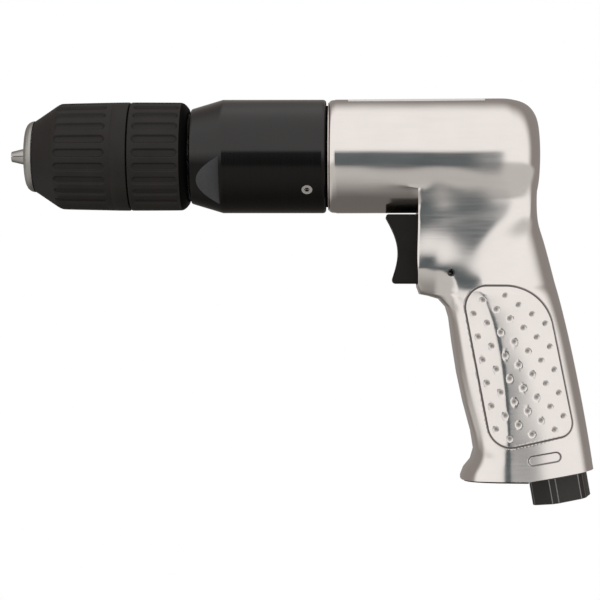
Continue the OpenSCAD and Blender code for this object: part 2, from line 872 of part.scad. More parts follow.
module front_end_plate() {
    color(dark_steel) difference() {
        bar(front_plate_x0, front_plate_x1, motor_d / 2);
        bar(front_plate_x0 - over, front_plate_x1 - plate_lip, front_bearing_od / 2);
        bar(front_plate_x0, front_plate_x1 + over, front_bearing_id / 2 + face_gap);
        dowel_hole();
    }
}

module rear_end_plate() {
    color(dark_steel) difference() {
        bar(cylinder_x1, rear_plate_x1, motor_d / 2);
        bar(cylinder_x1 + plate_lip, rear_plate_x1 + over, rear_bearing_od / 2);
        bar(cylinder_x1 - over, rear_plate_x1, rear_bearing_id / 2 + face_gap);
        dowel_hole();
    }
}

module cylinder_dowel() {
    color(steel) translate([0, 0, dowel_z]) bar(front_plate_x0 + 1.2, rear_plate_x1 - 1.2, dowel_d / 2);
}

// Gear case

// Wrench flat on one side of the gear case's cone
module wrench_flat(turn) {
    size = gear_case_d;
    rotate([turn, 0, 0])
        translate([case_x0 - over, -size, -size / 2])
            cube([gear_cone_len - 0.5 + over, size - wrench_flat_r, size]);
}

module grease_plug_place() {
    rotate([grease_plug_turn, 0, 0]) translate([grease_plug_x, 0, 0]) rotate([90, 0, 0]) children();
}

module gear_case() {
    r = case_r;
    color(black_metal) difference() {
        turned([
            [0, case_x0], [gear_case_front_d / 2 - 0.4, case_x0], [gear_case_front_d / 2, case_x0 + 0.5],
            [r, case_x0 + gear_cone_len], [r, case_x1 - case_edge_len], [r - case_edge, case_x1],
            [case_thread_d / 2, case_x1], [case_thread_d / 2, case_x1 + case_thread_len],
            [0, case_x1 + case_thread_len]]);
        bar(case_x0 - over, seal_x0 + over, spindle_r + face_gap);
        bar(seal_x0, bearing_x0, seal_r + fit);
        bar(bearing_x0, main_bore_x0 + over, spindle_bearing_od / 2 + fit);
        bar(ring_groove_x0, ring_groove_x0 + retaining_w, spindle_bearing_od / 2 + retaining_depth);
        bar(main_bore_x0, case_x1 + case_thread_len + over, main_bore_r);
        wrench_flat(wrench_flat_turn);
        wrench_flat(wrench_flat_turn + 180);
        grease_plug_place() cylinder(h = case_r + over, r = grease_plug_d / 2 + fit);
    }
}

// Socket plug of the grease hole
module grease_plug() {
    socket_d = grease_plug_d * 0.5;
    color(steel) grease_plug_place() difference() {
        translate([0, 0, main_bore_r + 0.4]) cylinder(h = case_r - main_bore_r - 0.5, r = grease_plug_d / 2);
        translate([0, 0, case_r - 1.6]) cylinder(h = 3, d = socket_d, $fn = 6);
    }
}

// Housing and handle

// Straight slope of the grip at height z, eased in below the barrel
function slope_x(z) =
    let (u = max(0, web_z - z))
    web_x + tan(grip_tilt) * (u < web_ease ? u * u / (2 * web_ease) : u - web_ease / 2);

// Bowed back of the handle at height z
function back_x(z) =
    let (t = max(0, min(1, (web_z - z) / (web_z - heel_z))))
    slope_x(z) + 4 * grip_bow * t * (1 - t);

// Front of the grip at height z
function grip_x(z) = slope_x(z) - grip_depth;

// Lofted sections of the handle: [front x, front z, back z, half width, front squareness]
grip_top = -block_drop - finger_r;
grip_end = -handle_drop + toe_h;
grip_mid = (grip_top + grip_end) / 2;
finger_x = grip_x(grip_top) + finger_lean;
block_half = block_w / 2;
grip_half = grip_w / 2;
handle_sections = [
    [block_x, 8, 8, block_half, block_round],
    [block_x, -18, -16, block_half, block_round],
    [block_x, -32, -27, block_half, block_round],
    [block_x, 4.4 - block_drop, 12 - block_drop, block_half, block_round],
    [block_x + 0.5, 1.6 - block_drop, 9 - block_drop, block_half, block_round - 2],
    [block_x + 1.8, 0.3 - block_drop, 8 - block_drop, block_half, block_round - 3],
    [finger_x - finger_r, -block_drop, 7 - block_drop, block_half, block_round - 4],
    [finger_x - 0.5 * finger_r, -block_drop - 0.13 * finger_r, 5.6 - block_drop, block_half - 0.2, 4],
    [finger_x - 0.13 * finger_r, -block_drop - 0.5 * finger_r, 3.4 - block_drop, block_half - 0.5, 3.4],
    [finger_x, grip_top, grip_top + 8, grip_half + 0.3, 3],
    [grip_x(grip_mid) - 0.7, grip_mid, grip_mid + 8, grip_half, grip_round],
    [grip_x(grip_end) - 0.8, grip_end + 4, grip_end + 12, grip_half - 0.4, grip_round],
    [grip_x(grip_end), grip_end, grip_end + 8, grip_half - 0.4, grip_round],
    [grip_x(grip_end) - 0.2 * toe_reach, grip_end - 0.36 * toe_h, grip_end + 5, grip_half - 0.4, grip_round],
    [grip_x(grip_end) - 0.75 * toe_reach, grip_end - 0.62 * toe_h, grip_end + 1, grip_half - 0.4, grip_round],
    [grip_x(grip_end) - toe_reach, grip_end - 0.8 * toe_h, grip_end - 3, grip_half - 0.4, grip_round],
    [grip_x(grip_end) - toe_reach, grip_end - 1.3 * toe_h, grip_end - toe_h, grip_half - 0.4, grip_round],
];

// Power that keeps the sign of its base
function spow(b, e) = sign(b) * pow(abs(b), e);

// Ring of points for one section, square in front and rounded behind
function section_ring(s) =
    let (front = [s[0], 0, s[1]])
    let (back = [back_x(s[2]), 0, s[2]])
    let (mid = (front + back) / 2)
    let (half = (back - front) / 2)
    [for (i = [0:handle_points - 1])
        let (a = 360 * i / handle_points)
        let (n = cos(a) < 0 ? s[4] : grip_round)
        mid + half * spow(cos(a), 2 / n) + [0, s[3] * spow(sin(a), 2 / n), 0]];

module handle_solid() {
    rings = len(handle_sections);
    n = handle_points;
    points = [for (s = handle_sections) each section_ring(s)];
    sides = [for (r = [0:rings - 2]) for (i = [0:n - 1])
        let (j = (i + 1) % n)
        each [[r * n + i, r * n + j, (r + 1) * n + j], [r * n + i, (r + 1) * n + j, (r + 1) * n + i]]];
    top = [[for (i = [0:n - 1]) n - 1 - i]];
    bottom = [[for (i = [0:n - 1]) (rings - 1) * n + i]];
    polyhedron(points, concat(top, sides, bottom));
}

// Frame of the inlet: children drawn along +Z point out of the handle's bottom
module inlet_place() {
    translate(inlet_seat) rotate([0, 180 - bottom_tilt, 0]) children();
}

// Sector of a ring over the top of the barrel
module top_sector(x0, x1, r_out, r_in) {
    half = nameplate_span / 2;
    reach = 2 * r_out;
    intersection() {
        tube(x0, x1, r_out, r_in);
        translate([x0 - over, 0, 0]) rotate([90, 0, 90]) linear_extrude(height = x1 - x0 + 2 * over)
            polygon([
                [0, 0], [reach * sin(half), reach * cos(half)], [-reach * sin(half), reach * cos(half)]]);
    }
}

module muffler_box(gap, z0, z1) {
    translate([muffler_x1 - muffler_len + gap, -muffler_w / 2 + gap, z0])
        cube([muffler_len - 2 * gap, muffler_w - 2 * gap, z1 - z0]);
}

// Barrel and handle, one casting, with the motor bore and the air passages
module motor_housing() {
    r = barrel_r;
    rr = barrel_rear_r;
    e = barrel_front_round;
    back = barrel_x1 - barrel_back_len;
    round = barrel_back_round;
    round_x = barrel_x1 - back_crown - round;
    round_r = rr - (round_x - back) * tan(back_slope) - round / cos(back_slope);
    below = 60;
    color(casting) difference() {
        union() {
            turned(concat(
                [[0, barrel_x0]],
                arc(r - e, barrel_x0 + e, e, -90, 0, 4),
                [[rr, back]],
                arc(round_r, round_x, round, back_slope, 90, 5),
                [[0, barrel_x1]]));
            difference() {
                handle_solid();
                translate([block_x - 60, -60, -handle_drop - below]) cube([200, 120, below]);
                inlet_place() translate([-100, -60, 0]) cube([200, 120, below]);
            }
        }
        bar(barrel_x0 - over, thread_bore_x1, case_thread_d / 2 + fit);
        bar(barrel_x0, motor_bore_x1, main_bore_r);
        bar(motor_bore_x1 - over, motor_bore_x1 + rear_chamber_len, rear_chamber_r);
        top_sector(nameplate_x0 - fit, nameplate_x0 + nameplate_len + fit, barrel_rear_r + 2, nameplate_r);
        translate([block_x - 3, -trigger_w / 2 - pocket_gap, trigger_bottom - pocket_gap])
            cube([pocket_x1 - block_x + 3, trigger_w + 2 * pocket_gap, trigger_h + 2 * pocket_gap]);
        translate([0, 0, pin_z]) bar(pocket_x1 - over, guide_x1 + trigger_travel + 1, guide_r + fit);
        cross_bar(pin_x, pin_z, block_w, pin_r + fit);
        translate([0, 0, valve_z]) bar(pocket_x1 - over, spring_x1, valve_bore_r);
        translate([0, 0, valve_z]) bar(spring_x1 - over, passage_top[0], air_passage_d / 2 - 0.5);
        translate([seat_port_x, 0, valve_z]) cylinder(h = -valve_z - main_bore_r + 4, r = seat_port_r + 0.3);
        inlet_place() translate([0, 0, -inlet_hole_len])
            cylinder(h = inlet_hole_len + over, d = inlet_shank_d + 2 * fit);
        inlet_place() translate([0, 0, -passage_len]) cylinder(h = passage_len, d = air_passage_d);
        for (y = [-exhaust_y, exhaust_y])
            translate([exhaust_x0, y, exhaust_z0])
                rotate([0, 180 - bottom_tilt, 0])
                    cylinder(h = exhaust_len, d = exhaust_d);
        muffler_box(0, -handle_drop - over, -handle_drop + muffler_h);
        for (y = [-plate_screw_y, plate_screw_y])
            translate([plate_screw_x, y, -handle_drop - over])
                cylinder(h = plate_screw_len + over, d = plate_screw_d);
    }
}

// Plain plate in the recess on top of the barrel
module nameplate() {
    color("#d9d8d4") top_sector(nameplate_x0, nameplate_x0 + nameplate_len, barrel_r, nameplate_r + 0.02);
}

// Throttle

// Side outline of the trigger with its hollow front
function trigger_outline() =
    let (h = trigger_h)
    let (x = trigger_x0)
    concat(
        [[trigger_x1, trigger_top], [x + 1, trigger_top], [x, trigger_top - 1]],
        [for (i = [0:8]) let (t = i / 8)
            [x + 2.7 * t + 3.4 * sin(180 * t), trigger_top - 1 - (h - 3) * t]],
        [[x + 4.1, trigger_bottom], [trigger_x1, trigger_bottom]]);

// Trigger with its guide stem
module trigger() {
    slot_back = pin_x + pin_r + 0.3;
    slot_front = pin_x - pin_r - trigger_travel - 0.3;
    slot_r = pin_r + 0.1;
    color(black_plastic) difference() {
        union() {
            rotate([90, 0, 0]) translate([0, 0, -trigger_w / 2])
                linear_extrude(height = trigger_w) polygon(trigger_outline());
            translate([0, 0, pin_z]) bar(trigger_x1 - over, guide_x1, guide_r);
        }
        translate([slot_front + slot_r, -guide_d, pin_z - slot_r])
            cube([slot_back - slot_front - 2 * slot_r, 2 * guide_d, 2 * slot_r]);
        cross_bar(slot_front + slot_r, pin_z, guide_d, slot_r);
        cross_bar(slot_back - slot_r, pin_z, guide_d, slot_r);
    }
}

// Slotted spring pin that keeps the trigger in
module trigger_pin() {
    half = block_half - 1.2;
    wall = 0.55;
    slit = 0.5;
    color(dark_steel) difference() {
        cross_bar(pin_x, pin_z, half, pin_r);
        cross_bar(pin_x, pin_z, half + over, pin_r - wall);
        translate([pin_x - slit / 2, -half - over, pin_z]) cube([slit, 2 * half + 2 * over, trigger_pin_d]);
    }
}

// Poppet that the trigger pushes off its seat
module throttle_valve() {
    color(brass) translate([0, 0, valve_z]) union() {
        bar(trigger_x1 + 0.02, valve_head_x0 + over, valve_stem_d / 2);
        bar(valve_head_x0, spring_x0, valve_head_d / 2);
        bar(spring_x0 - over, spring_x0 + valve_boss_w, spring_r - spring_wire_d / 2 - 0.4);
    }
}

// Bushing with the valve's seat, its stem guide and the air port
module valve_seat() {
    r = valve_bore_r - fit;
    color(brass) difference() {
        translate([0, 0, valve_z]) bar(seat_x0, seat_x1, r);
        translate([0, 0, valve_z]) bar(seat_x0 - over, seat_x1, valve_stem_d / 2 + fit);
        translate([0, 0, valve_z]) bar(seat_x0 + seat_guide, seat_x1 + over, valve_head_d / 2 - 1.2);
        translate([0, 0, valve_z]) tube(seat_seal_x - seal_groove / 2, seat_seal_x + seal_groove / 2,
            valve_bore_r + over, r - seal_groove);
        translate([seat_port_x, 0, valve_z]) cylinder(h = valve_bore_d, r = seat_port_r);
    }
}

// Seal ring around the seat bushing
module valve_seat_seal() {
    ring = seal_groove / 2 - fit;
    color(rubber) translate([0, 0, valve_z]) on_axis(seat_seal_x)
        rotate_extrude() translate([valve_bore_r - fit - ring, 0]) circle(r = ring);
}

// Coil that closes the valve and returns the trigger
module valve_spring() {
    steps = 12 * spring_turns;
    sides = 8;
    wire = spring_wire_d / 2;
    rise = spring_len - spring_wire_d - 0.1;
    ring_points = [for (i = [0:steps])
        let (a = 30 * i)
        let (x = spring_x0 + wire + 0.05 + rise * i / steps)
        for (j = [0:sides - 1])
            let (b = 360 * j / sides)
            let (q = spring_r + wire * cos(b))
            [x + wire * sin(b), q * cos(a), valve_z + q * sin(a)]];
    walls = [for (i = [0:steps - 1]) for (j = [0:sides - 1])
        let (k = (j + 1) % sides)
        each [[i * sides + j, (i + 1) * sides + k, i * sides + k],
            [i * sides + j, (i + 1) * sides + j, (i + 1) * sides + k]]];
    start = [[for (j = [0:sides - 1]) j]];
    end = [[for (j = [0:sides - 1]) steps * sides + sides - 1 - j]];
    color(steel) polyhedron(ring_points, concat(start, walls, end));
}

// Inlet and exhaust

// Hexagon bushing for the air hose
module inlet_bushing() {
    bottom = inlet_washer_t + inlet_hex_h;
    color(black_metal) inlet_place() difference() {
        union() {
            translate([0, 0, inlet_washer_t]) intersection() {
                rotate(inlet_hex_turn) cylinder(h = inlet_hex_h, d = inlet_af / cos(30), $fn = 6);
                cylinder(h = inlet_hex_h, d = inlet_corner_d);
            }
            translate([0, 0, -inlet_shank_len]) cylinder(h = inlet_shank_len + bottom / 2, d = inlet_shank_d);
        }
        translate([0, 0, bottom - inlet_bore_len]) cylinder(h = inlet_bore_len + over, d = inlet_bore_d);
        translate([0, 0, -inlet_shank_len - over])
            cylinder(h = inlet_shank_len + bottom, d = inlet_bore_d - 2);
    }
}

// Sealing washer between the handle and the hexagon
module inlet_washer() {
    color(rubber) inlet_place() difference() {
        cylinder(h = inlet_washer_t, d = inlet_af - 0.6);
        translate([0, 0, -over]) cylinder(h = inlet_washer_t + 2 * over, d = inlet_shank_d + 2 * fit);
    }
}

// Perforated disc above the inlet bushing
module inlet_screen() {
    hole_d = 2;
    color(brass) inlet_place() translate([0, 0, -inlet_shank_len - screen_t - fit]) difference() {
        cylinder(h = screen_t, d = inlet_shank_d - 0.2);
        for (i = [0:5])
            rotate(60 * i) translate([2.6, 0, -over]) cylinder(h = screen_t + 2 * over, d = hole_d);
        translate([0, 0, -over]) cylinder(h = screen_t + 2 * over, d = hole_d);
    }
}

// Felt pad that quiets the exhaust
module muffler_pad() {
    color(felt) muffler_box(0.1, -handle_drop + 0.1, -handle_drop + muffler_h - 2.4);
}

// Dark plate under the front of the handle, with exhaust slots
module exhaust_plate() {
    front = grip_x(grip_end) - toe_reach;
    back = back_x(grip_end - toe_h);
    mid = (front + back) / 2;
    half = (back - front) / 2 * plate_scale;
    outline = [for (i = [0:47]) let (a = 360 * i / 48)
        [mid + half * spow(cos(a), 2 / grip_round),
            (grip_half - 0.4) * plate_scale * spow(sin(a), 2 / grip_round)]];
    z0 = -handle_drop - exhaust_plate_t;
    color(black_metal) difference() {
        translate([0, 0, z0]) linear_extrude(height = exhaust_plate_t) polygon(outline);
        translate([bottom_break_x, -grip_w, z0 - over])
            cube([2 * grip_depth, 2 * grip_w, 4 * exhaust_plate_t]);
        for (i = [-1:1])
            translate([plate_screw_x + i * exhaust_slot_step, 0, z0 + exhaust_plate_t / 2])
                cube([exhaust_slot[0], exhaust_slot[1], exhaust_plate_t + 2 * over], center = true);
        for (y = [-plate_screw_y, plate_screw_y])
            translate([plate_screw_x, y, z0 - over])
                cylinder(h = exhaust_plate_t + 2 * over, d = plate_screw_d + 2 * fit);
        for (y = [-plate_screw_y, plate_screw_y])
            translate([plate_screw_x, y, z0])
                cylinder(
                    h = exhaust_plate_t, r1 = plate_screw_head_d / 2 + fit, r2 = plate_screw_d / 2 + fit);
    }
}

// Two countersunk screws of the exhaust plate
module exhaust_plate_screws() {
    z0 = -handle_drop - exhaust_plate_t;
    shank_d = plate_screw_d - 2 * fit;
    socket_depth = 0.6;
    color(dark_steel) for (y = [-plate_screw_y, plate_screw_y])
        translate([plate_screw_x, y, z0]) difference() {
            union() {
                cylinder(h = exhaust_plate_t, d1 = plate_screw_head_d, d2 = shank_d);
                cylinder(h = plate_screw_len - 0.4, d = shank_d);
            }
            translate([0, 0, -over]) cylinder(h = socket_depth + over, d = plate_screw_d * 0.6, $fn = 6);
        }
}

motor_housing();
nameplate();
gear_case();
grease_plug();
chuck_body();
jaw_1();
jaw_2();
jaw_3();
front_sleeve();
rear_sleeve();
chuck_nut();
nut_thrust_balls();
nut_thrust_washer();
chuck_screw();
spindle();
spindle_bearing_outer();
spindle_bearing_inner();
spindle_bearing_balls();
spindle_seal();
bearing_retaining_ring();
ring_gear();
planet_2a();
planet_2b();
planet_2c();
planet_2_pins();
intermediate_carrier();
planet_1a();
planet_1b();
planet_1c();
planet_1_pins();
rotor();
vanes();
motor_cylinder();
front_end_plate();
rear_end_plate();
cylinder_dowel();
front_bearing_outer();
front_bearing_inner();
front_bearing_balls();
rear_bearing_outer();
rear_bearing_inner();
rear_bearing_balls();
trigger();
trigger_pin();
throttle_valve();
valve_seat();
valve_seat_seal();
valve_spring();
inlet_bushing();
inlet_washer();
inlet_screen();
muffler_pad();
exhaust_plate();
exhaust_plate_screws();
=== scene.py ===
import math

import bmesh
import bpy
from mathutils import Matrix, Vector
from mathutils.kdtree import KDTree


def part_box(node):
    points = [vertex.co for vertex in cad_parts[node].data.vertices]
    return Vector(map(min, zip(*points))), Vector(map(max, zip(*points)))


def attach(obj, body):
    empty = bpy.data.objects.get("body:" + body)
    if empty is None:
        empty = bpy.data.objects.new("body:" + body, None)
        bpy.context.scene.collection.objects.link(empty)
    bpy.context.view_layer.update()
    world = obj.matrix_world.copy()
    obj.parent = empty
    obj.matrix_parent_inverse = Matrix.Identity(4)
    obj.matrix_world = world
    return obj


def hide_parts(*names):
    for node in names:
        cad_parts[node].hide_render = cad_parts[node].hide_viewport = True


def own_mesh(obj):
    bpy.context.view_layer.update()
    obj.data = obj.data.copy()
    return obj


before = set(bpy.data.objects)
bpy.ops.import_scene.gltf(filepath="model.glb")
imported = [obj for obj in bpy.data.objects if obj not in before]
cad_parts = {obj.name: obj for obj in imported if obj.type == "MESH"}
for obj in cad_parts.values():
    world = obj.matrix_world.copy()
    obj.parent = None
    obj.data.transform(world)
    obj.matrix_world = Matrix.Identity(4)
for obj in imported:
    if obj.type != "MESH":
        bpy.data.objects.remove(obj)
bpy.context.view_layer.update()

# Motor housing: the barrel and the pistol grip under it are one aluminium casting, ground and satin polished.
# The barrel is turned and the grip flows down from it. Motor, throttle and inlet are bored into it.
mm = 0.001
spindle_axis = {"cent": (0, 0, 0), "axis": (1, 0, 0)}


def turned(points, steps, closed=False):
    """An outline of (x, radius) points in millimetres, turned once round the spindle axis.

    An outline that isn't closed has both its ends on the axis.
    """
    bm = bmesh.new()
    line = [bm.verts.new((x * mm, 0, -r * mm)) for x, r in points]
    edges = [bm.edges.new(pair) for pair in zip(line, line[1:] + line[:1] if closed else line[1:])]
    bmesh.ops.spin(bm, geom=line + edges, angle=2 * math.pi, steps=steps, use_merge=True, **spindle_axis)
    bmesh.ops.remove_doubles(bm, verts=bm.verts, dist=1e-6)
    bmesh.ops.recalc_face_normals(bm, faces=bm.faces)
    return bm


def bent_strip(points, half_turn, steps):
    """A strip along the top of the barrel: (x, radius) points swept to both sides by an angle in degrees."""
    bm = bmesh.new()
    sine, cosine = math.sin(math.radians(-half_turn)), math.cos(math.radians(half_turn))
    side = [bm.verts.new((x * mm, r * mm * sine, r * mm * cosine)) for x, r in points]
    end_face = bm.faces.new(side)
    bmesh.ops.spin(bm, geom=side + end_face.edges[:] + [end_face], angle=math.radians(-2 * half_turn),
                   steps=steps, **spindle_axis)
    bmesh.ops.recalc_face_normals(bm, faces=bm.faces)
    return bm


def piece(name, bm, smooth_angle=35):
    """Turns a finished bmesh into an object of its own, smooth but for its sharp edges."""
    for face in bm.faces:
        face.smooth = True
    for edge in bm.edges:
        edge.smooth = edge.calc_face_angle(0) < math.radians(smooth_angle)
    mesh = bpy.data.meshes.new(name)
    bm.to_mesh(mesh)
    bm.free()
    made = bpy.data.objects.new(name, mesh)
    bpy.context.scene.collection.objects.link(made)
    return made


def evaluated(made):
    """A bmesh of an object as its modifiers leave it; the object itself is taken away."""
    graph = bpy.context.evaluated_depsgraph_get()
    mesh = bpy.data.meshes.new_from_object(made.evaluated_get(graph))
    bm = bmesh.new()
    bm.from_mesh(mesh)
    bpy.data.meshes.remove(mesh)
    bpy.data.objects.remove(made)
    return bm


def cut(bm, *cutters, operation="DIFFERENCE"):
    """Cuts closed shapes out of a closed shape, or joins them to it, one after the other."""
    body = piece("blank", bm)
    tools = []
    for shape in cutters:
        tool = piece("cutter", shape)
        modifier = body.modifiers.new("cut", "BOOLEAN")
        modifier.operation = operation
        modifier.solver = "EXACT"
        modifier.object = tool
        tools.append(tool)
    result = evaluated(body)
    for tool in tools:
        bpy.data.objects.remove(tool)
    return result


def block(low, high):
    """A box between two corners in millimetres."""
    bm = bmesh.new()
    middle = (Vector(low) + Vector(high)) / 2 * mm
    size = (Vector(high) - Vector(low)) * mm
    bmesh.ops.create_cube(bm, size=1, matrix=Matrix.Translation(middle) @ Matrix.Diagonal(size).to_4x4())
    return bm


def rod(start, end, radius, radius_end=None):
    """A round bar between two points in millimetres, tapered if it has a second radius."""
    start, end = Vector(start) * mm, Vector(end) * mm
    turn = (end - start).to_track_quat("Z", "Y").to_matrix().to_4x4()
    bm = bmesh.new()
    bmesh.ops.create_cone(bm, cap_ends=True, segments=48, radius1=radius * mm,
                          radius2=(radius if radius_end is None else radius_end) * mm,
                          depth=(end - start).length, matrix=Matrix.Translation((start + end) / 2) @ turn)
    return bm


def ease_edges(bm, edges, offset, segments, clamp=True):
    """Rounds edges, or chamfers them with one segment; the offset is in millimetres."""
    return bmesh.ops.bevel(bm, geom=edges, offset=offset * mm, offset_type="OFFSET", affect="EDGES",
                           segments=segments, profile=0.5, material=-1, clamp_overlap=clamp)


back_top_x, back_top_z, back_height, back_slope, back_bow = 202.95, -19, 104.3, 0.22536, 7.6
back_start = 10


def back_of_handle(z):
    """X of the handle's bowed back at height z, in millimetres."""
    drop = max(0, back_top_z - z)
    share = min(1, drop / back_height)
    ease = drop * drop / (2 * back_start) if drop < back_start else drop - back_start / 2
    return back_top_x + back_slope * ease + back_bow * share * (1 - share)


barrel = [(120.5, 0), (120.5, 10), (120.5, 20.3), (120.6, 21.3), (121.3, 22.02), (122.8, 22.44),
          (124.6, 22.59), (127, 22.64), (155.8, 22.78), (165, 22.85), (174, 22.92), (182.5, 22.99),
          (189.5, 23.02), (193, 22.7), (196.7, 21.8), (200.1, 19.85), (202.5, 16.6), (203.6, 12.8),
          (204.2, 7.5), (204.35, 0)]
bm = turned(barrel, 24)
crease = bm.edges.layers.float.new("crease_edge")
along = bm.verts.layers.float.new("along")
evened = bm.verts.layers.float.new("evened")
across = bm.verts.layers.float.new("across")
front_x, back_ring_x = 155.8, 202.5
mouth_half_turn = 60


def below_turn(co):
    """Angle of a point round the barrel from its lowest line, in degrees."""
    return math.degrees(math.atan2(co.y, -co.z))


rings_under = [x for x, r in barrel if front_x <= x <= back_ring_x]
mouth = [f for f in bm.faces if abs(below_turn(f.calc_center_median())) < mouth_half_turn
         and front_x < f.calc_center_median().x / mm < back_ring_x]
bmesh.ops.delete(bm, geom=mouth, context="FACES")
rim = [e for e in bm.edges if e.is_boundary]
back_rim_bulge = 0.45 * mm
for vert in {v for e in rim for v in e.verts}:
    x = vert.co.x / mm
    step = min(range(len(rings_under)), key=lambda k: abs(rings_under[k] - x))
    vert[along] = 2 * (x - front_x) / (back_ring_x - front_x) - 1
    vert[evened] = 2 * step / (len(rings_under) - 1) - 1
    vert[across] = below_turn(vert.co) / mouth_half_turn
    if abs(vert[evened]) == 1:
        vert[along] = vert[evened]
    if vert[evened] == 1:
        vert.co.x += back_rim_bulge * (1 - vert[across] ** 2)
for edge in rim:
    if all(v[evened] == -1 for v in edge.verts):
        edge[crease] = 1.0

# Sections of the grip from the barrel down: front x, front z, back z, half width, squareness in front and
# behind, sag, crease of the front corners, and the widest place between the front (-1) and the back (1).
stations = [
    (155.8, -20, -16.5, 17.65, 200, 4.2, 6, 1, 0.3),
    (155.8, -27.5, -24, 17.4, 200, 3.8, 3, 1, 0.15),
    (155.8, -36, -32, 17.45, 200, 3, 0.6, 1, -0.32),
    (155.8, -45, -41, 17.7, 200, 2.7, 0, 1, -0.5),
    (155.9, -52, -48, 17.9, 120, 2.7, 0, 1, -0.46),
    (156.9, -54.8, -50.7, 18.05, 40, 2.8, 0, 0.25, -0.42),
    (160.4, -55.5, -52.2, 18.15, 20, 3, 0, 0, -0.38),
    (164.5, -56.7, -54.2, 18.25, 12, 3.3, 0, 0, -0.34),
    (167.3, -59.8, -57.2, 18.4, 9, 3.6, 0, 0, -0.32),
    (168.6, -64, -62, 18.6, 7.5, 3.9, 0, 0, -0.3),
    (169.9, -74, -71, 18.8, 7, 4.2, 0, 0, -0.3),
    (171.8, -86, -82, 18.9, 7, 4.2, 0, 0, -0.3),
    (174.4, -98, -94, 18.9, 7, 4.2, 0, 0, -0.3),
    (177.5, -109.5, -105, 18.9, 7, 4.2, 0, 0, -0.3),
    (178.6, -116.5, -112.5, 18.9, 6, 4.2, 0, 0, -0.28),
    (177.2, -120.6, -117, 18.85, 4.2, 4.2, 0, 0, -0.26),
    (174.5, -123.8, -120.5, 18.8, 4, 4.2, 0, 0, -0.24),
    (173.3, -126.8, -124, 18.8, 4, 4.2, 0, 0, -0.22),
    (173.3, -132, -130, 18.8, 4, 4.2, 0, 0, -0.22),
    (174, -138, -136, 18.8, 4, 4.2, 0, 0, -0.22),
]
stations_to_even = 6
for count, station in enumerate(stations, 1):
    x_front, z_front, z_back, half, square, square_back, sag, corner, widest = station
    loop = bmesh.ops.extrude_edge_only(bm, edges=rim)["geom"]
    rim = [e for e in loop if isinstance(e, bmesh.types.BMEdge) and e.is_boundary]
    depth = back_of_handle(z_back) - x_front
    share = min(1, count / stations_to_even)
    for vert in {v for e in rim for v in e.verts}:
        u = vert[along] * (1 - share) + vert[evened] * share
        v = vert[across]
        n = square if u < 0 else square_back
        norm = (abs(u) ** n + abs(v) ** n) ** (1 / n)
        u, v = u / norm, v / norm
        reach = (1 + widest) / 2 + u * (1 + widest if u < 0 else 1 - widest) / 2
        vert.co = (mm * (x_front + depth * reach), mm * half * v,
                   mm * (z_front + (z_back - z_front) * reach - sag * (1 - v * v)))
    for vert in {v for e in rim for v in e.verts}:
        if vert[evened] == -1 and abs(vert[across]) > 0.99:
            for edge in vert.link_edges:
                if not edge.is_boundary and edge[crease] < 0.9:
                    edge[crease] = max(edge[crease], corner)
bmesh.ops.recalc_face_normals(bm, faces=bm.faces)


def pass_through_points(bm, rounds):
    """Moves the cage so that the smooth surface goes through the points that were modelled."""
    aims = {v: v.co.copy() for v in bm.verts
            if not v.is_boundary and all(len(f.verts) == 4 for f in v.link_faces)
            and all(e[crease] == 0 for e in v.link_edges)}
    for _ in range(rounds):
        moves = []
        for v, aim in aims.items():
            n = len(v.link_edges)
            near = sum((e.other_vert(v).co for e in v.link_edges), Vector())
            far = sum((c.link_loop_next.link_loop_next.vert.co for c in v.link_loops), Vector())
            moves.append((v, aim - (n * n * v.co + 4 * near + far) / (n * (n + 5))))
        for v, move in moves:
            v.co += move


pass_through_points(bm, 5)
cage = piece("housing_cage", bm)
surface = cage.modifiers.new("smooth", "SUBSURF")
surface.levels = surface.render_levels = 3
bm = evaluated(cage)


def soft_step(low, high, value):
    """Rises smoothly from 0 to 1 between two values."""
    t = max(0, min(1, (value - low) / (high - low)))
    return t * t * (3 - 2 * t)


# The block is tucked in below the trigger, and each side of the grip leans away from a crown line.
tuck_top_z, tuck_rate = -43.5, 0.0018
crown_top_x, crown_top_z, crown_shift, crown_fade = 181, -53.6, 11.5, 24
front_lean, back_lean, back_lean_lost, grip_half_width = 0.15, 0.026, 0.018, 18.8
for vert in bm.verts:
    x, _, z = vert.co / mm
    tuck = (tuck_rate * max(0, tuck_top_z - z) ** 2
            * (1 - soft_step(162, 171, x)) * (1 - soft_step(56, 66, -z)))
    crown = crown_top_x + crown_shift * (1 - math.exp(-max(0, crown_top_z - z) / crown_fade))
    lean = front_lean if x < crown else back_lean - back_lean_lost * soft_step(65, 108, -z)
    blunt = 0.5 + 2 * soft_step(110, 120, -z)
    away = math.hypot(x - crown, blunt) - blunt
    vert.co.y *= 1 - tuck - lean * soft_step(44, 58, -z) * away / grip_half_width
front_corners = [e for e in bm.edges if e.calc_face_angle(0) > math.radians(30)
                 and all(v.co.x < 157 * mm and abs(v.co.y) > 12 * mm and v.co.z < -13 * mm for v in e.verts)]
ease_edges(bm, front_corners, 0.45, 3)


def slice_off(bm, point, normal):
    """Cuts away what lies beyond a plane and closes the cut."""
    bmesh.ops.bisect_plane(bm, geom=bm.verts[:] + bm.edges[:] + bm.faces[:], dist=1e-7,
                           plane_co=Vector(point) * mm, plane_no=normal, clear_outer=True)
    bmesh.ops.holes_fill(bm, edges=[e for e in bm.edges if e.is_boundary], sides=0)


inlet_seat = Vector((211.695, 0, -125.783))
inlet_down = Vector((0.173648, 0, -0.984808))
handle_bottom_z = -128
slice_off(bm, (0, 0, handle_bottom_z), (0, 0, -1))
slice_off(bm, inlet_seat, inlet_down)

# Grip panel: the corners (x, z, rounding) of its groove, the dimples inside it and a rounded recess below it.
panel_corners = [(172.4, -51.5, 8.5), (205.5, -51.5, 19), (217.1, -109.3, 5.6), (184.8, -116.6, 9.2)]


